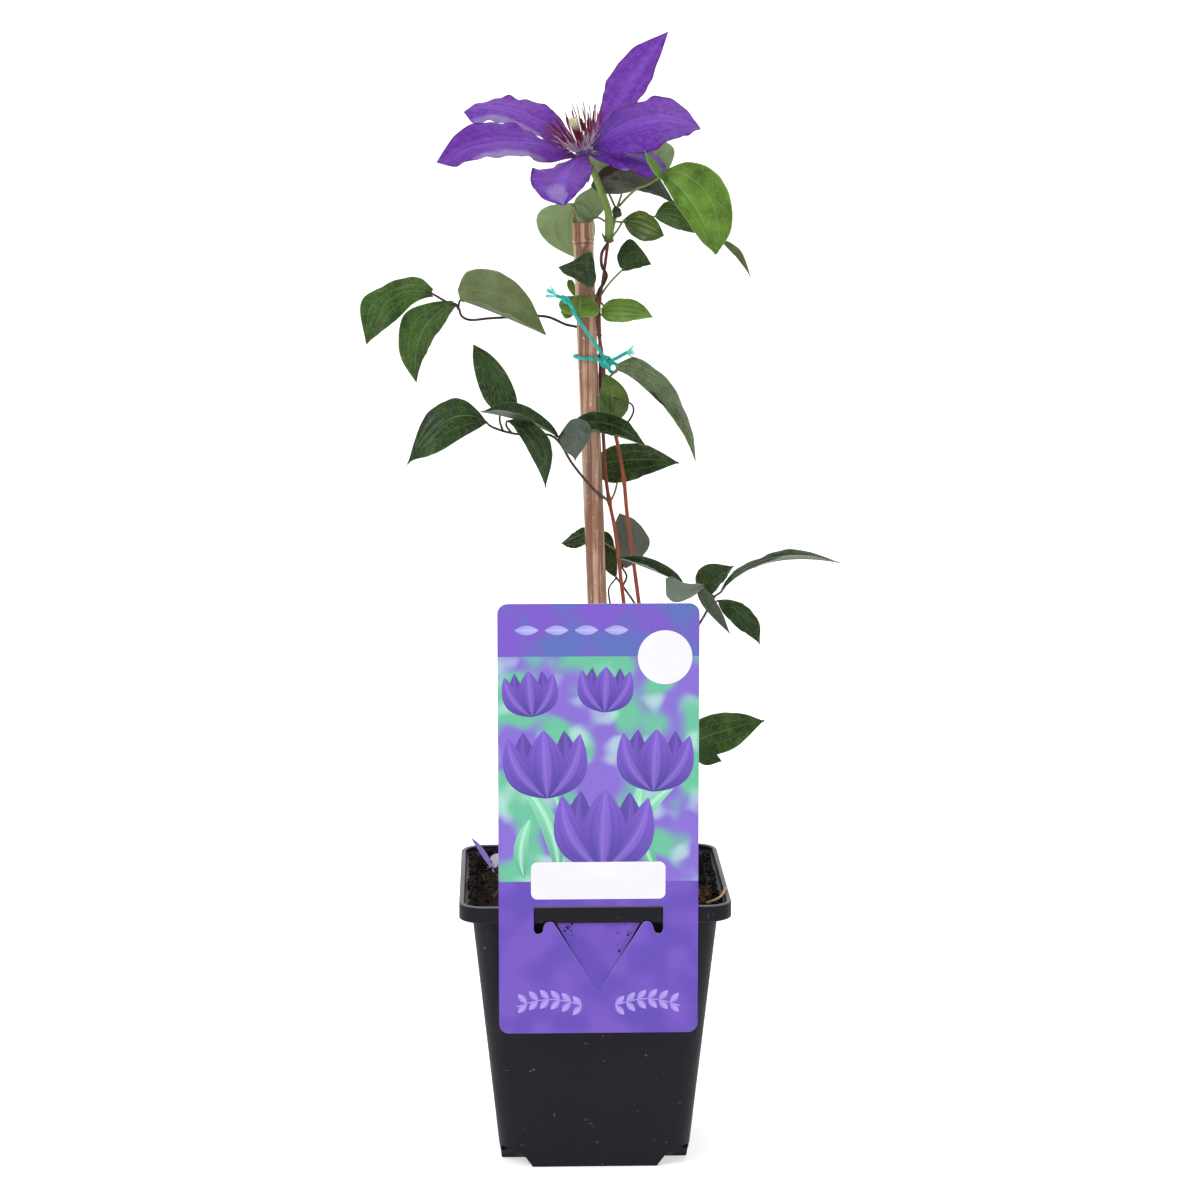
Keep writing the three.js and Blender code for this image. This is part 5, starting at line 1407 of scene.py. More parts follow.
def carve(shape, other, operation):
    # Joins the other shape to this one or cuts it away, and applies the result
    change = shape.modifiers.new("carve", "BOOLEAN")
    change.operation = operation
    change.solver = "EXACT"
    change.object = other
    depsgraph = bpy.context.evaluated_depsgraph_get()
    mesh = bpy.data.meshes.new_from_object(shape.evaluated_get(depsgraph))
    shape.modifiers.clear()
    shape.data = mesh
    bpy.data.objects.remove(other)


def drain_plug(x, y):
    # Round bar through the floor, to be cut out of it
    low = ring_around(Vector((x, y, -1)), X_AXIS, Y_AXIS, DRAIN_RADIUS, 32)
    high = ring_around(Vector((x, y, FLOOR_TOP + 2)), X_AXIS, Y_AXIS, DRAIN_RADIUS, 32)
    return loft([low, high])


def make_pot():
    pot = rough_shape("nursery_pot", *pot_wall())
    for along in (True, False):
        carve(pot, rough_shape("foot", *foot_arm(along)), "UNION")
    for x in (-DRAIN_PLACE, DRAIN_PLACE):
        for y in (-DRAIN_PLACE, DRAIN_PLACE):
            carve(pot, rough_shape("drain", *drain_plug(x, y)), "DIFFERENCE")
    mesh = pot.data
    mesh.materials.append(moulded_polypropylene())
    mesh.polygons.foreach_set("use_smooth", [True] * len(mesh.polygons))
    mesh.set_sharp_from_angle(angle=math.radians(40))
    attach(pot, "root")
    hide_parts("pot")


# Peat
def peat_base(x, y):
    # Broad shape of the peat: a heap at the front right, a low bank at the back left, and soft lumps
    heap = 9 * math.exp(-((x - 52) ** 2 + (y + 40) ** 2) / 900)
    bank = 4 * math.exp(-((x + 40) ** 2 + (y - 50) ** 2) / 500)
    lumps = 1.1 * math.sin(x / 6 + 1) * math.cos(y / 7) + 0.8 * math.sin((x + y) / 4.3)
    return PEAT_TOP_Z + heap + bank + lumps


def peat_top(x, y):
    # Lumps, crumbs and loose grit between them
    place = Vector((x, y, 0))
    lump = noise.voronoi(place / PEAT_LUMP)[0][0]
    crumb = noise.voronoi(place / PEAT_GRAIN + Vector((40, 7, 0)))[0][0]
    return peat_base(x, y) + 2.4 * (0.45 - lump) + 1.3 * (0.45 - crumb) + 0.35 * grain(place, 0.9)


def peat_grid():
    # Places on the peat's top; those in the pot's corners are drawn in to its rounding
    half = inner_half(PEAT_EDGE_Z) + 0.5
    corner = BODY_CORNER - WALL
    flat = half - corner
    rows = []
    for i in range(PEAT_STEPS + 1):
        row = []
        for j in range(PEAT_STEPS + 1):
            x = half * (2 * j / PEAT_STEPS - 1)
            y = half * (2 * i / PEAT_STEPS - 1)
            over_x, over_y = abs(x) - flat, abs(y) - flat
            if over_x > 0 and over_y > 0:
                pull = max(over_x, over_y) / math.hypot(over_x, over_y)
                x = math.copysign(flat + over_x * pull, x)
                y = math.copysign(flat + over_y * pull, y)
            row.append(Vector((x, y, peat_top(x, y))))
        rows.append(row)
    return rows


def add_crumb(build, place, size, draw):
    # Irregular grain with eight or more faces
    rings = []
    for height, wide in ((-0.8, 0.5), (-0.3, 1), (0.35, 0.9), (0.8, 0.45)):
        ring = []
        for k in range(6):
            angle = k / 6 * math.tau + draw.uniform(-0.3, 0.3)
            reach = size * wide * draw.uniform(0.6, 1.15)
            ring.append(place + Vector((reach * math.cos(angle), reach * math.sin(angle), size * height)))
        rings.append(ring)
    build.add(*loft(rings))


def peat_body():
    # Rough top, and plain sides and floor that follow the pot
    side = PEAT_STEPS
    points = [p for row in peat_grid() for p in row]
    faces = []
    for i in range(side):
        for j in range(side):
            a = i * (side + 1) + j
            faces.append([a, a + 1, a + side + 2, a + side + 1])
    rim = list(range(side))
    rim += [i * (side + 1) + side for i in range(side)]
    rim += [side * (side + 1) + j for j in range(side, 0, -1)]
    rim += [i * (side + 1) for i in range(side, 0, -1)]
    foot_share = (inner_half(FLOOR_TOP) - 0.3) / inner_half(PEAT_EDGE_Z)
    start = len(points)
    for share, z in ((0.985, PEAT_EDGE_Z - 4), (foot_share * 0.96, FLOOR_TOP + 0.3)):
        points += [Vector((points[k].x * share, points[k].y * share, z)) for k in rim]
    count = len(rim)
    for k in range(count):
        nxt = (k + 1) % count
        faces.append([rim[k], start + k, start + nxt, rim[nxt]])
        faces.append([start + k, start + count + k, start + count + nxt, start + nxt])
    faces.append([start + count + k for k in range(count)][::-1])
    return points, faces


def make_peat():
    build = Build()
    build.add(*peat_body())
    draw = random.Random(11)
    for _ in range(LEDGE_CRUMBS):
        # Loose crumbs that lie on the ledge inside the rim
        along, out = draw.uniform(-LEDGE_INSIDE, LEDGE_INSIDE), draw.uniform(LEDGE_INSIDE + 0.4, 60.6)
        size = draw.uniform(0.6, 1.5)
        x, y = draw.choice(((along, out), (along, -out), (out, along), (-out, along)))
        if abs(x) > 54 and abs(y) > 54:
            continue
        add_crumb(build, Vector((x, y, RIM_LEDGE + 1.5 + size * 0.6)), size, draw)
    for _ in range(PEAT_CRUMBS):
        x, y = draw.uniform(-CRUMB_REACH, CRUMB_REACH), draw.uniform(-CRUMB_REACH, CRUMB_REACH)
        size = draw.uniform(0.5, 1.9) ** 1.2
        place = Vector((x, y, peat_top(x, y) + size * 0.35))
        add_crumb(build, place, size, draw)
    finished_piece("peat", build, [peat_in_painted_shade()], "peat", "soil", sharp=70)


def make_fibres():
    # Strands that lie on the peat; each follows its surface, and its ends lift a little
    build = Build()
    draw = random.Random(5)
    for k in range(FIBRE_COUNT):
        x, y = draw.uniform(-50, 50), draw.uniform(-50, 50)
        # A third of them lie on the heap at the front right
        if k % 3 == 0:
            x, y = draw.uniform(40, 52), draw.uniform(-54, -20)
        heading = draw.uniform(0, math.tau)
        length = draw.uniform(5, 17)
        lift = draw.uniform(0.2, 2.2)
        places = []
        for step in range(5):
            share = step / 4
            heading += draw.uniform(-0.4, 0.4)
            x = clamp(x + math.cos(heading) * length / 4, -CRUMB_REACH, CRUMB_REACH)
            y = clamp(y + math.sin(heading) * length / 4, -CRUMB_REACH, CRUMB_REACH)
            z = peat_top(x, y) + 0.2 + lift * (2 * abs(share - 0.5)) ** 2
            places.append(Vector((x, y, z)))
        wide = draw.uniform(0.12, 0.32)
        add_tube(build, places, wide, wide * 0.6, sides=5, per_span=3)
    finished_piece("peat_fibres", build, [peat_fibre()], "peat")


# Cane
# Ring of the joint: how far above the joint, and how far the skin stands out there
CANE_JOINT = (
    (-5, 0), (-2.4, 0.12), (-1.4, 0.45), (-0.9, 0.35), (-0.6, -0.05), (-0.2, 0.45), (0.5, 0.75), (1.3, 0.5),
    (2.4, 0.3), (5, 0.28),
)


def cane_steps(length):
    # Places along the cane's skin and its radius there, up over the ring of the joint to the sawn edge
    joint = length - CANE_JOINT_DOWN
    steps = [(joint * k / 70, 0) for k in range(70)]
    steps += [(joint + up, more) for up, more in CANE_JOINT]
    steps += [(length - 1, 0.3), (length - 0.2, 0.25), (length, -0.1)]
    return sorted((along, CANE_RADIUS + more) for along, more in steps)


def make_cane():
    axis = Vector((CANE_LEAN, 0, 1)).normalized()
    drop = CANE_TOP[2] - CANE_BOTTOM_Z
    start = Vector((CANE_TOP[0] - CANE_LEAN * drop, CANE_TOP[1], CANE_BOTTOM_Z))
    length = (Vector(CANE_TOP) - start).length
    across = Y_AXIS.cross(axis).normalized()
    up = axis.cross(across).normalized()
    steps = cane_steps(length)
    skin = len(steps)
    # Over the sawn edge and down into the pith hole
    steps += [(length + 0.1, 3.2), (length, 1.9), (length - 0.6, 1.6), (length - 4, 1.2)]
    rings = []
    for index, (along, radius) in enumerate(steps):
        ring = ring_around(start + axis * along, across, up, radius, CANE_SIDES)
        for p in ring:
            out = (p - start - axis * along).normalized()
            p += out * 0.13 * grain(Vector((out.x * 3, out.y * 3, along / 40)), 1)
            if index >= skin - 1:
                p += axis * 0.35 * grain(p, 1.1)
        rings.append(ring)
    points, faces = loft(rings)
    build = Build()
    outside = (skin - 1) * CANE_SIDES
    build.add(points, faces)
    build.finishes = [0 if k < outside else 1 for k in range(len(faces) - 2)] + [1, 1]
    splinter = [(-8.2, 0, 450), (-8.5, -0.1, 455), (-8.3, 0, 457.6), (-8.9, 0.1, 460)]
    add_tube(build, splinter, 0.8, 0.3, sides=6, finish=1)
    add_tube(build, [(-7.2, -0.6, 452), (-7.5, -0.8, 456.3)], 0.6, 0.25, sides=5, finish=1)
    finished_piece("bamboo_cane", build, [bamboo(), cut_bamboo()], "bamboo", "cane")


# Label
def card_outline(left, right, low, high, corner, steps=10):
    # Rectangle with rounded corners, in x and z
    middles = [
        (right - corner, high - corner, 0),
        (left + corner, high - corner, 1),
        (left + corner, low + corner, 2),
        (right - corner, low + corner, 3),
    ]
    outline = []
    for x, z, quarter in middles:
        for k in range(steps + 1):
            angle = (quarter + k / steps) * math.pi / 2
            outline.append((x + corner * math.cos(angle), z + corner * math.sin(angle)))
    return outline


def slot_outline():
    # Slot for the rim, a round lobe hanging at each end and the V of the tongue between them
    lobe = [
        (SLOT_HALF, 0, SLOT_LOW - 2),
        (SLOT_HALF - 0.7, 0, SLOT_LOW - 3.6),
        (SLOT_HALF - 2.2, 0, SLOT_LOW - 4.1),
        (SLOT_HALF - 4, 0, SLOT_LOW - 3.2),
        (SLOT_HALF - 4.8, 0, SLOT_LOW - 0.4),
        (SLOT_HALF - 6, 0, SLOT_LOW + 1.3),
        (SLOT_HALF - 7.9, 0, SLOT_LOW + 1.8),
        (SLOT_HALF - 9.4, 0, SLOT_LOW + 1.3),
        (SLOT_HALF - LOBE_REACH, 0, SLOT_LOW - 0.4),
    ]
    half = [(SLOT_HALF, SLOT_HIGH)]
    half += [(p.x, p.z) for p in smooth_line(lobe, 4)]
    half.append((CUT_WIDTH, TONGUE_TIP_Z))
    right = [(CARD_MIDDLE_X + x, z) for x, z in half]
    left = [(CARD_MIDDLE_X - x, z) for x, z in half]
    return (right + left[::-1])[::-1]


def prism(loops, front, back):
    # Flat piece of a drawn outline and its openings; its first faces look to the front
    flat = [[Vector((x, z, 0)) for x, z in loop] for loop in loops]
    ends = [p for loop in flat for p in loop]
    count = len(ends)
    points = [Vector((p.x, y, p.y)) for y in (front, back) for p in ends]
    front_faces = []
    for a, b, c in tessellate_polygon(flat):
        turn = (ends[b] - ends[a]).cross(ends[c] - ends[a]).z
        front_faces.append([a, b, c] if turn > 0 else [a, c, b])
    faces = front_faces + [[count + a, count + c, count + b] for a, b, c in front_faces]
    start = 0
    for loop in loops:
        size = len(loop)
        for k in range(size):
            a, b = start + k, start + (k + 1) % size
            faces.append([a, a + count, b + count, b])
        start += size
    return points, faces, len(front_faces)


def add_prism(build, loops, front, back, front_finish, side_finish):
    points, faces, fronts = prism(loops, front, back)
    before = len(build.faces)
    build.add(points, faces, side_finish)
    build.finishes[before : before + fronts] = [front_finish] * fronts


def tongue_half(z):
    # Half the width of the tongue at this height
    slope = (SLOT_HALF - LOBE_REACH) / (SLOT_LOW - TONGUE_TIP_Z)
    return slope * (z - TONGUE_TIP_Z) - CUT_WIDTH * 1.6


def tongue_lean():
    # How far the tongue goes back for each millimetre up
    return (TONGUE_TOP_Y - CARD_FRONT_Y) / (TONGUE_TOP_Z - TONGUE_TIP_Z)


def add_tongue(build):
    half = tongue_half(TONGUE_TOP_Z)
    outline = [
        (CARD_MIDDLE_X - 0.8, TONGUE_TIP_Z - 1.5),
        (CARD_MIDDLE_X + 0.8, TONGUE_TIP_Z - 1.5),
        (CARD_MIDDLE_X + half, TONGUE_TOP_Z),
        (CARD_MIDDLE_X - half, TONGUE_TOP_Z),
    ]
    start = len(build.points)
    add_prism(build, [outline], CARD_FRONT_Y, CARD_FRONT_Y + CARD_THICK, 0, 1)
    for p in build.points[start:]:
        p.y += max(0, p.z - TONGUE_TIP_Z) * tongue_lean()


def make_label():
    left = CARD_MIDDLE_X - CARD_WIDTH / 2
    right = CARD_MIDDLE_X + CARD_WIDTH / 2
    outline = card_outline(left, right, CARD_BOTTOM, CARD_TOP, CARD_CORNER)
    build = Build()
    add_prism(build, [outline, slot_outline()], CARD_FRONT_Y, CARD_FRONT_Y + CARD_THICK, 0, 1)
    add_tongue(build)
    finished_piece("plant_label", build, [printed_ground(), card_core()], "label_card", "label")


# Printed motifs: thin layers of ink, each a little proud of the one under it
def add_ink(build, base, tip, wide, layer, finish, bow=0.0, widest=0.45, taper=0.8):
    # One petal or leaf of ink from base to tip, in x and z; the bow bends it to one side
    base, tip = Vector((base[0], 0, base[1])), Vector((tip[0], 0, tip[1]))
    ahead = (tip - base).normalized()
    right = Vector((ahead.z, 0, -ahead.x))
    front = CARD_FRONT_Y - INK_LAYER * layer
    form = {
        "base": base + Vector((0, front + 0.05, 0)),
        "mid": (base + tip) / 2 + right * bow + Vector((0, front + 0.05, 0)),
        "tip": tip + Vector((0, front + 0.05, 0)),
        "left": [-right * wide * leaf_width(s, widest, taper) for s in (1 / 3, 2 / 3)],
        "right": [right * wide * leaf_width(s, widest, taper) for s in (1 / 3, 2 / 3)],
        "widest": widest,
        "taper": taper,
    }
    flat = [(u / 4, 0) for u in range(5)]
    points, faces, marks = blade(form, flat, 14, 0.1)
    build.add(points, faces, finish, marks)


def add_cup(build, x, z, lean, size, layer):
    # Goblet-shaped blossom: two petals behind, one at each side and one in front
    for turn, reach, wide, step, finish in (
        (-17, 0.92, 0.2, 0, 1),
        (17, 0.92, 0.2, 0, 1),
        (-30, 0.95, 0.19, 1, 0),
        (30, 0.95, 0.19, 1, 0),
        (0, 0.9, 0.25, 2, 0),
    ):
        angle = math.radians(lean + turn)
        tip = (x + size * reach * math.sin(angle), z + size * reach * math.cos(angle))
        bow = size * 0.12 * math.copysign(1, turn) if turn else 0
        add_ink(build, (x, z), tip, size * wide, layer + step, finish, bow)


def add_sprig(build, x, z, way, layer):
    # Arched twig with pairs of small leaves, for the lower band
    for k in range(6):
        step = way * 5.2 * k
        low = (x + step, z + 3.2 * math.sin(k * 0.55))
        for side in (-1, 1):
            tip = (low[0] + way * 4.2, low[1] + side * 4.6)
            add_ink(build, low, tip, 1.5, layer + 1, 3, widest=0.5)
        ahead = (x + way * 5.2 * (k + 1), z + 3.2 * math.sin((k + 1) * 0.55))
        add_ink(build, low, ahead, 0.35, layer, 3, widest=0.5, taper=0.3)


# Long leaves of the drawing: base, tip, half width and bow
PRINTED_LEAVES = (
    ((-18, 149), (-38, 198), 5, 6),
    ((10, 149), (40, 196), 5, -7),
    ((2, 149), (-16, 186), 4.5, 5),
    ((30, 149), (22, 200), 5, -5),
    ((-34, 149), (-31, 178), 4, -3),
)
# Stalks of the drawing: base, tip and bow
PRINTED_STALKS = (((-14, 149), (-22, 196), 3), ((16, 149), (23, 200), -3), ((-2, 149), (3, 158), 1))
# Blossoms of the drawing: foot, lean in degrees, size and lowest layer of ink
PRINTED_CUPS = (
    (-30, 227, -5, 24, 1),
    (4, 229, 2, 24, 1),
    (-23, 188, -3, 36, 4),
    (27, 191, 3, 33, 4),
    (3, 153, 2, 43, 7),
)
BLANK_DISC = (32.3, 255, 12.8)  # its middle and its radius


def blank_disc():
    x, z, radius = BLANK_DISC
    turns = [k / 48 * math.tau for k in range(48)]
    return [(x + radius * math.cos(turn), z + radius * math.sin(turn)) for turn in turns]


def make_print():
    # Generic drawing in place of the label's picture: goblet blossoms and long leaves
    build = Build()
    for base, tip, wide, bow in PRINTED_LEAVES:
        add_ink(build, base, tip, wide, 1, 2, bow)
    for base, tip, bow in PRINTED_STALKS:
        add_ink(build, base, tip, 1.1, 2, 2, bow, widest=0.5, taper=0.25)
    for cup in PRINTED_CUPS:
        add_cup(build, *cup)
    for way in (-1, 1):
        add_sprig(build, CARD_MIDDLE_X + way * 8, 87, way, 1)
    for x in (-38, -24, -10, 4):
        add_ink(build, (x, 268), (x + 11, 268), 2.6, 1, 4, widest=0.5)
    for outline in (blank_disc(), card_outline(-30.8, 32.8, 139, 157, 3)):
        add_prism(build, [outline], CARD_FRONT_Y - 0.13, CARD_FRONT_Y + 0.1, 5, 5)
    inks = [
        printed_ink("ink_blossom", "#35208a", "#7350c4", "#8a68cf"),
        printed_ink("ink_blossom_shade", "#2b1870", "#5638a4", "#6a4cb8"),
        printed_ink("ink_foliage", "#3f9c7c", "#8fd8b4", "#b4ecd0"),
        printed_ink("ink_sprig", "#8a74cf", "#a591dd", "#b7a6e6"),
        printed_ink("ink_header_leaf", "#8c8fd6", "#a9a6e2", "#b9b6ea"),
        card_core(),
    ]
    finished_piece("label_print", build, inks, "label_card")


# Patches of dirt on the tongue: left, right, low, high and how many crumbs
LABEL_DIRT = ((-15.5, -11, 118, 126.5, 16), (10, 19, 109, 126, 26))


def make_label_dirt():
    # Peat crumbs caught on the tongue where it tucks under the pot's rim
    build = Build()
    draw = random.Random(23)
    for left, right, low, high, count in LABEL_DIRT:
        for _ in range(count):
            x, z = draw.uniform(left, right), draw.uniform(low, high)
            if abs(x - CARD_MIDDLE_X) > tongue_half(z) - 1:
                continue
            y = CARD_FRONT_Y + (z - TONGUE_TIP_Z) * tongue_lean() - 0.05
            add_crumb(build, Vector((x, y, z)), draw.uniform(0.18, 0.6), draw)
    finished_piece("label_crumbs", build, [peat_in_painted_shade()], "peat", sharp=70)


# Tie
def cord_ring(centre, radius, tilt, turn, count=16):
    # One turn of the cord in a knot; its two ends don't quite meet
    places = []
    spin = Euler((tilt, turn, 0), "ZYX").to_matrix()
    for k in range(count + 1):
        angle = k / count * math.tau * 0.96
        flat = Vector((radius * math.cos(angle), radius * math.sin(angle), 0))
        places.append(Vector(centre) + spin @ flat)
    return places


def add_fray(build, root, ends, draw):
    # Loose yarns that fan out round each listed end
    for end in ends:
        for _ in range(9):
            spread = Vector([draw.uniform(-1, 1) for _ in range(3)])
            middle = (Vector(root) + Vector(end)) / 2 + spread * 0.5
            add_tube(build, [root, middle, Vector(end) + spread * 1.1], 0.26, 0.14, 5, 3, 1)


TIE_AROUND = [
    (5.8, -5.6, 388.6), (2, -6.6, 389.6), (-4, -6, 390), (-7.9, -2.5, 390.3), (-8, 2.2, 390.5),
    (-4, 6.1, 390.4), (1.5, 6.9, 390.2), (6.2, 5.9, 389.8), (7.7, 1.2, 389.2), (7.4, -3, 388.6),
    (5.8, -5.6, 388),
]
TIE_LONG_END = [
    (6, -7.4, 389), (2.8, -11, 395), (-2.6, -19, 403), (-8, -26.5, 411), (-12.4, -25.5, 419),
    (-17.4, -23.5, 421),
]
TIE_SHORT_END = [(6.4, -7.2, 388), (11.5, -7.8, 390.2), (16.5, -7.6, 393)]
# Turns of the knot, of the small loop under it and of the long end's own knot: middle, radius, tilt and turn
KNOT_TURNS = (
    ((6.0, -7.1, 388.2), 2.0, 0.9, 0.3),
    ((7.2, -7.3, 388.6), 1.9, 1.6, 0.9),
    ((6.1, -7.4, 387), 1.8, 2.4, -0.5),
    ((9.9, -7.6, 385.6), 2.2, 1.45, 0.35),
    ((-12.9, -25.4, 419.2), 1.1, 1.2, 0.4),
    ((-14, -25, 419.8), 1.1, 0.5, 1.0),
)


def make_tie():
    build = Build()
    for line in (TIE_AROUND, TIE_LONG_END, TIE_SHORT_END, *(cord_ring(*turn) for turn in KNOT_TURNS)):
        add_tube(build, line, CORD_RADIUS, CORD_RADIUS, sides=12, per_span=4)
    draw = random.Random(3)
    add_fray(build, (-17, -23.6, 420.9), [(-22, -22, 420.8), (-22.2, -22.4, 423.4), (-20.6, -23, 425)], draw)
    add_fray(build, (16, -7.6, 392.8), [(19.5, -7.4, 395.5), (20, -7.6, 392.8), (18.8, -7.8, 391)], draw)
    finished_piece("elastic_tie", build, [elastic_cord(), frayed_yarn()], "tie_cord", "tie")


# Stems
def make_stem(name, node, places, knots, finish):
    # Stem that swells where leaves part from it; knots are the heights of those joints
    line = smooth_line(places, 7)
    radii = []
    for i, p in enumerate(line):
        radius = blend(1.0, 0.75, i / (len(line) - 1))
        swell = max(math.exp(-((p.z - z) / 1.8) ** 2) for z in knots)
        radii.append(radius * (1 + 0.55 * swell) * (1 + 0.06 * grain(p, 4)))
    build = Build()
    points, faces, marks = tube(line, radii, 12)
    build.add(points, faces, 0, marks)
    finished_piece(name, build, [finish], "stem", node)


def make_stems():
    red = woody_stem("red_stem", "#93452f", "#6b3226", 330)
    make_stem("stem_left", "stem_a", STEM_A, (320, 379, 417.5), red)
    dark = woody_stem("dark_stem", "#8d4330", "#33211f", 392)
    make_stem("stem_right", "stem_b", STEM_B, (250.6, 330, 419), dark)


# Flower stalk, side shoot and receptacle
def bloom_frame():
    # Two directions across the flower, square to its axis
    side = X_AXIS.cross(BLOOM_AXIS).normalized()
    return side, BLOOM_AXIS.cross(side).normalized()


def bloom_place(radius, angle, height):
    # Place in the flower's own round frame, with its height along the flower's axis
    side, other = bloom_frame()
    middle = BLOOM + BLOOM_AXIS * height
    return middle + side * (radius * math.cos(angle)) + other * (radius * math.sin(angle))


def bloom_ring(height, radius, sides=24):
    side, other = bloom_frame()
    return ring_around(bloom_place(0, 0, height), side, other, radius, sides)


# Receptacle, on which the tepals sit: height and radius
RECEPTACLE = ((-4, 1.4), (-2.6, 2.0), (-1.4, 3.4), (-0.5, 4.4), (0, 4.5), (0.2, 4.0))


def make_peduncle():
    build = Build()
    below = bloom_place(0, 0, -3)
    stalk = [(8, -2.5, 445.6), (8, -3, 453), (7.5, -3, 460), (4.5, -3, 469), (0.4, -2, 479), below]
    line = smooth_line(stalk, 8)
    radii = []
    for i, p in enumerate(line):
        radii.append(blend(2.0, 1.5, i / (len(line) - 1)) * (1 + 0.2 * math.exp(-((p.z - 446) / 1.5) ** 2)))
    points, faces, marks = tube(line, radii, 16)
    marks["brown"] = [smooth(1 - (p.z - 445) / 3.5) for p in points]
    build.add(points, faces, 0, marks)
    shoot = [(8.6, -0.5, 446.4), (10, 1.6, 453), (12, 1, 461.5)]
    add_tube(build, shoot, 1.2, 1.1, sides=12, per_span=8)
    stub = [(7.6, -3, 445.8), (5.8, -3.6, 447.4), (4.6, -3.8, 449.6)]
    add_tube(build, stub, 1.0, 0.25, sides=8, finish=1)
    rings = [bloom_ring(height, radius) for height, radius in RECEPTACLE]
    build.add(*loft(rings), finish=3)
    bract = {
        "base": (10.8, 0.8, 456.5), "mid": (11.2, -1.6, 459.4), "tip": (13.6, -3, 461),
        "left": [(-1.3, 1.3, 1.8), (0, 0.8, 2.4)],
        "right": [(1.8, -0.5, -1.3), (2.6, -1.4, -2)],
    }
    points, faces, marks = blade(bract, LEAF_RELIEF, 14, LEAF_THICK)
    build.add(points, faces, 2, marks)
    finishes = [
        green_stalk("flower_stalk", "#4f6b2c", "#8aa855"),
        woody_stem("dry_stub", "#3a241c", "#3a241c", 400),
        leaf_skin("bract_skin", "#1f3320", "#2f4a2c", "#5d7a4a", "#4d6340"),
        stamen_skin("receptacle_skin", "#5b3f86", "#7d5ca0"),
    ]
    finished_piece("flower_peduncle", build, finishes, "green_stalk", "peduncle")


# Stamens and styles
def widest_lean(angle):
    return OUTER_LEAN + SIDE_LEAN * max(0, math.cos(angle)) ** 2


def hair_line(root, height, angle, lean, length, twist):
    # Slightly bent line of one stamen or style, from its root outwards
    places = []
    for share, steep in ((0, 1), (0.3, 1.05), (0.6, 1.05), (0.85, 0.97), (1, 0.92)):
        tilt = math.radians(lean * steep)
        reach = root + length * share * math.sin(tilt)
        turn = angle + twist * share * share
        places.append(bloom_place(reach, turn, height + length * share * math.cos(tilt)))
    return smooth_line(places, 4)


def make_stamens():
    # Filaments round the styles; the inner ones are short and curl in, the outer ones splay
    build = Build()
    draw = random.Random(7)
    rings = [bloom_ring(h, r) for h, r in ((0.1, 3.5), (1, 3.9), (2.6, 3.9), (3.2, 3.0))]
    points, faces = loft(rings)
    build.add(points, faces, 2)
    for k in range(STAMEN_COUNT):
        angle = k * TURN
        share = math.sqrt((k + 0.5) / STAMEN_COUNT)
        lean = blend(INNER_LEAN, widest_lean(angle), share)
        inner = clamp(2.0 - 2.9 * share)
        length = blend(19 + 3.5 * draw.random(), 12.5 + 2 * draw.random(), inner)
        line = hair_line(3.1 + 0.4 * draw.random(), 2.3, angle, lean, length, draw.uniform(-0.16, 0.16))
        split = int(len(line) * blend(0.5, 0.42, inner))
        stalk, anther = line[: split + 1], line[split:]
        count = len(stalk)
        points, faces, marks = tube(stalk, [blend(0.3, 0.2, i / count) for i in range(count)], 6)
        build.add(points, faces, 0, marks)
        fat = blend(0.24, 0.6, inner)
        swell = [math.sin(math.pi * clamp(i / len(anther) + 0.15)) for i in range(len(anther))]
        radii = [fat * (0.45 + 0.55 * share) for share in swell]
        points, faces, marks = tube(anther, radii, 7)
        build.add(points, faces, 1, marks)
    finishes = [
        stamen_skin("stamen_filament", "#d8d0e2", "#a06a98"),
        stamen_skin("stamen_anther", "#6a1236", "#3a0a28"),
        stamen_skin("stamen_foot", "#6a5090", "#8a74a6"),
    ]
    finished_piece("stamen_ring", build, finishes, "stamen", "stamens")


def make_styles():
    build = Build()
    draw = random.Random(9)
    rings = [bloom_ring(h, r, 16) for h, r in ((0.2, 2), (3, 2.1), (5, 1.7), (7, 1.2))]
    build.add(*loft(rings))
    for k in range(STYLE_COUNT):
        lean = 1 + 3.6 * math.sqrt(k / STYLE_COUNT)
        line = hair_line(0.8, 2, k * TURN, lean, 15.2 + 1.8 * draw.random(), draw.uniform(-0.4, 0.4))
        count = len(line)
        points, faces, marks = tube(line, [blend(0.4, 0.28, i / count) for i in range(count)], 6)
        build.add(points, faces, 0, marks)
    finish = stamen_skin("style_hair", "#6a1030", "#efe9c4", (0.5, 0.72))
    finished_piece("style_tuft", build, [finish], "style", "styles")


# Relief across a blade: place from midrib to edge, and how far it stands up
LEAF_RELIEF = (
    (0, -0.3), (0.04, -0.14), (0.09, 0.06), (0.2, 0.2), (0.34, 0.1), (0.42, -0.06), (0.46, -0.14),
    (0.5, -0.04), (0.6, 0.12), (0.76, 0.12), (0.9, 0.04), (1, -0.05),
)
TEPAL_RELIEF = (
    (0, -0.25), (0.04, -0.1), (0.08, 0.12), (0.13, 0.16), (0.18, -0.02), (0.22, -0.12), (0.27, 0.02),
    (0.36, 0.14), (0.48, 0.1), (0.62, 0.06), (0.75, 0.08), (0.87, 0.04), (0.95, -0.02), (1, -0.08),
)

# Withered places of a blade: along it, across it and how large
TEPAL_SPOTS = {"tepal_right": [(1, 0, 0.035), (0.97, 0.6, 0.03)]}

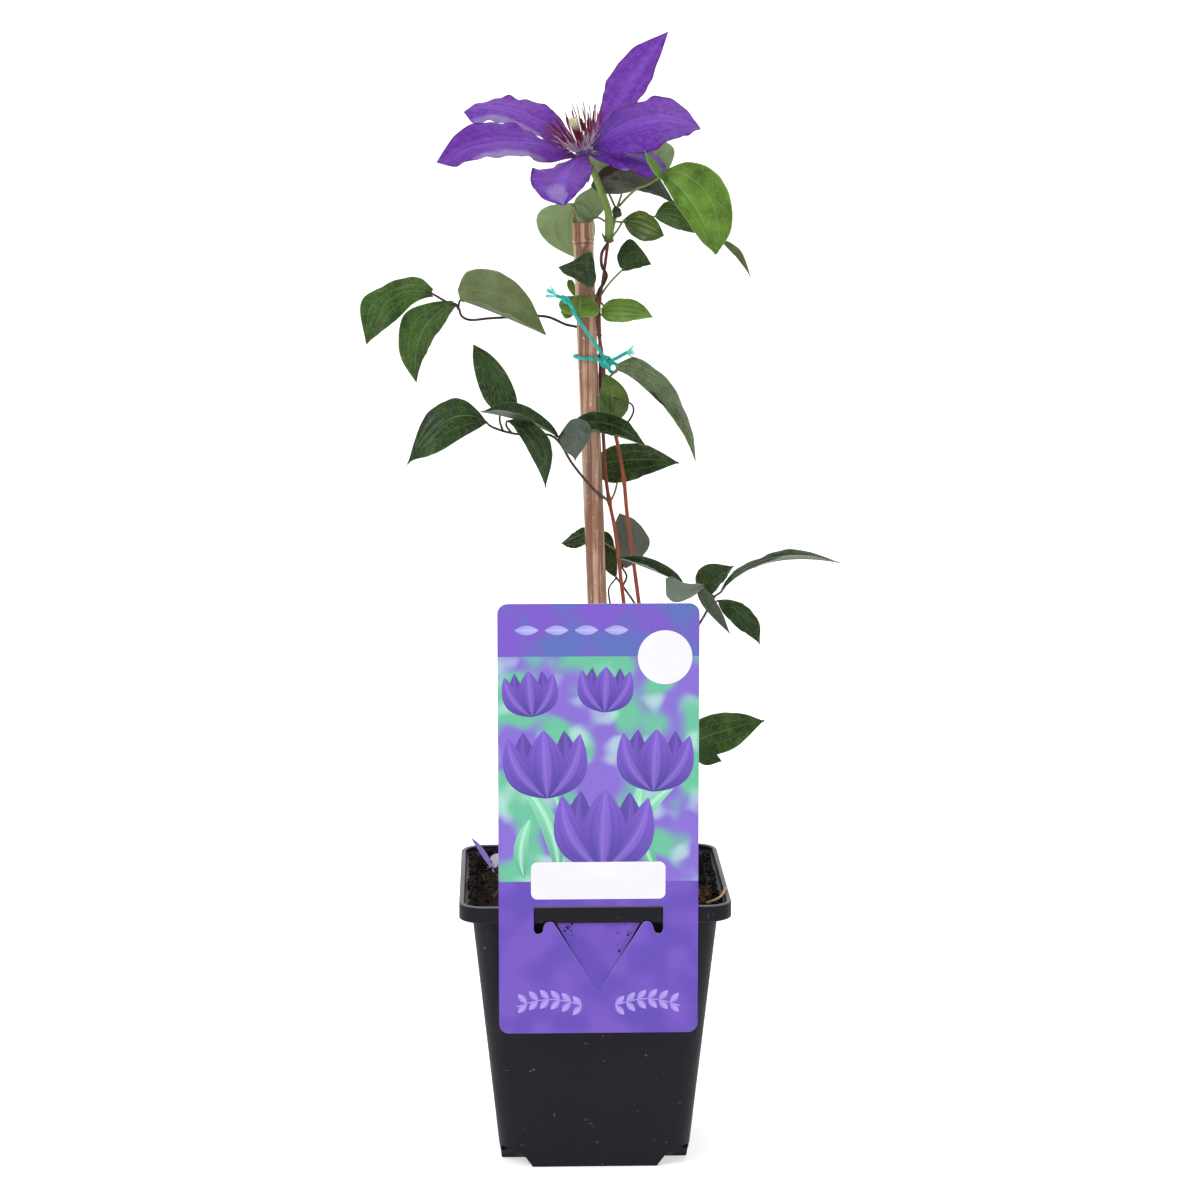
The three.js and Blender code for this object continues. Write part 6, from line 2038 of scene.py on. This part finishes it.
# Faded places: the whitish tip of the front tepal and the curled edges at the left
TEPAL_FADED = {
    "tepal_front": [(0.93, 0.1, 0.13), (0.82, 0.35, 0.13), (0.76, 0.15, 0.12), (0.85, -0.2, 0.08)],
    "tepal_left": [(0.3, -0.92, 0.1), (0.4, -0.9, 0.12), (0.5, -0.92, 0.12), (0.6, -0.95, 0.09)],
    "tepal_left_back": [
        (0.34, -0.9, 0.11), (0.44, -0.85, 0.13), (0.54, -0.8, 0.14), (0.64, -0.8, 0.13), (0.73, -0.85, 0.1),
    ],
    "tepal_right_low": [(0.02, 0, 0.06), (0.5, 0.95, 0.05)],
}
# Withered places of the leaflets
LEAF_SPOTS = {
    "leaf_3.end": [(0.42, 0.93, 0.07), (0.5, 0.97, 0.06)],
    "leaf_12.end": [(0.22, -0.7, 0.13), (0.34, -0.85, 0.12), (0.12, -0.5, 0.1), (0.3, -0.2, 0.05)],
    "leaf_14.end": [(0.06, -0.3, 0.06), (0.1, 0.1, 0.03)],
    "leaf_18.end": [(1, 0, 0.06)],
}


def make_tepals():
    finish = tepal_skin()
    for index, (name, form) in enumerate(TEPALS.items()):
        build = Build()
        form = {**form, "foot": 0.15}
        spots = TEPAL_SPOTS.get(name, ())
        pale = TEPAL_FADED.get(name, ())
        seed = index * 0.37
        points, faces, marks = blade(form, TEPAL_RELIEF, TEPAL_ROWS, TEPAL_THICK, 1.0, seed, spots, pale)
        build.add(points, faces, 0, marks)
        finished_piece("fine_" + name, build, [finish], "tepal", name, sharp=60)


# Leaf looks: deep and light tint, veins, underside and roughness
LEAF_TINTS = {
    "dark": ("#0a1c07", "#1c3512", "#6f8a58", "#3c473c", 0.36),
    "mid": ("#112b06", "#2a4f14", "#86a066", "#4d5b38", 0.42),
    "olive": ("#203a0e", "#456020", "#7c9452", "#5a6b40", 0.34),
    "soft": ("#2c4325", "#566d45", "#a0ae88", "#58664a", 0.36),
    "young": ("#305612", "#578528", "#96b45e", "#72903f", 0.36),
    "pale": ("#74925a", "#8fab74", "#b4c896", "#7f9a63", 0.6),
    "grey": ("#3d4a3e", "#5a6a58", "#7e8c7a", "#69786c", 0.5),
    "slate": ("#2c3a2e", "#46564a", "#6c7a6a", "#45534a", 0.5),
    "underside": ("#46592c", "#62774a", "#86966a", "#546448", 0.6),
}


# Look of each leaf, and of a leaflet that differs from its leaf
LEAF_LOOKS = {
    "leaf_1": "mid", "leaf_1.top": "underside", "leaf_2": "dark", "leaf_2.flap": "slate",
    "leaf_3": "soft", "leaf_4": "olive", "leaf_5": "dark", "leaf_6": "slate", "leaf_7": "dark",
    "leaf_8": "dark", "leaf_9": "dark", "leaf_9.flap": "grey", "leaf_10": "mid",
    "leaf_11": "young", "leaf_11.pale": "underside", "leaf_12": "slate", "leaf_12.pale": "pale",
    "leaf_13": "pale", "leaf_14": "olive", "leaf_15": "mid", "leaf_17": "dark", "leaf_18": "dark",
    "leaf_19": "young", "leaf_20": "young", "leaf_22": "pale", "leaf_24": "young",
}
LEAF_SLOTS = {"young": "leaf_young", "pale": "leaf_underside"}
DARK_STALKS = ("leaf_1", "leaf_2", "leaf_4", "leaf_6", "leaf_7", "leaf_9")


def make_leaf(index, name, leaf, finishes, stalk_green, stalk_dark):
    # One leaf: its leaflets, and its stalks, which run a little way into their leaflets
    build = Build()
    look = LEAF_LOOKS[name]
    own = [stalk_dark if name in DARK_STALKS else stalk_green, finishes[look]]
    for number, (part, form) in enumerate(leaf["leaflets"].items()):
        spots = LEAF_SPOTS.get(name + "." + part, ())
        seed = index * 0.31 + number * 0.17
        finish = finishes[LEAF_LOOKS.get(name + "." + part, look)]
        if finish not in own:
            own.append(finish)
        points, faces, marks = blade(form, LEAF_RELIEF, LEAF_ROWS, LEAF_THICK, 0.45, seed, spots)
        build.add(points, faces, own.index(finish), marks)
    for stalk in leaf["stalks"]:
        places = [Vector(p) for p in stalk["places"]]
        if stalk["into"]:
            places += [midrib(leaf["leaflets"][stalk["into"]], t) for t in (0, 0.03, 0.06)]
        places[0] = places[0] + (places[0] - places[1]).normalized() * 0.5
        add_tube(build, places, stalk["thick"] / 2, stalk["thick"] * 0.36, sides=10, per_span=5)
    finished_piece("fine_" + name, build, own, LEAF_SLOTS.get(look, "leaf"), name, sharp=60)


def make_leaves():
    finishes = {look: leaf_skin("leaf_" + look, *tints) for look, tints in LEAF_TINTS.items()}
    stalk_green = green_stalk("leaf_stalk", "#3f4d26", "#6f7f45")
    stalk_dark = woody_stem("leaf_stalk_dark", "#3d3528", "#261c20", 350)
    for index, (name, leaf) in enumerate(LEAVES.items()):
        make_leaf(index, name, leaf, finishes, stalk_green, stalk_dark)


# Litter
LITTER_RELIEF = ((0, -0.25), (0.3, 0.1), (0.6, -0.05), (1, 0.12))


def make_litter():
    petal = dry_litter("shrivelled_petal", "#5a46a0", "#a58fd6")
    leaf = dry_litter("dry_leaf_skin", "#9b97a6", "#d3cfdc")
    for name, form, node, slot, finish in (
        ("petal_strip", FALLEN_PETAL, "fallen_petal", "tepal", petal),
        ("dry_leaf_strip", DRY_LEAF, "dry_leaf", "dry_litter", leaf),
    ):
        build = Build()
        points, faces, marks = blade(form, LITTER_RELIEF, 24, 0.35, 0.5, 0.2)
        build.add(points, faces, 0, marks)
        finished_piece(name, build, [finish], slot, node)
    build = Build()
    add_tube(build, STRAW, 0.62, 0.55, sides=10, per_span=10)
    finish = dry_litter("straw_skin", "#a5854f", "#dcc390")
    finished_piece("straw_piece", build, [finish], "dry_litter", "straw")


make_camera()
make_studio()
make_light()
make_pot()
make_peat()
make_fibres()
make_cane()
make_label()
make_print()
make_label_dirt()
make_tie()
make_stems()
make_peduncle()
make_stamens()
make_styles()
make_tepals()
make_leaves()
make_litter()
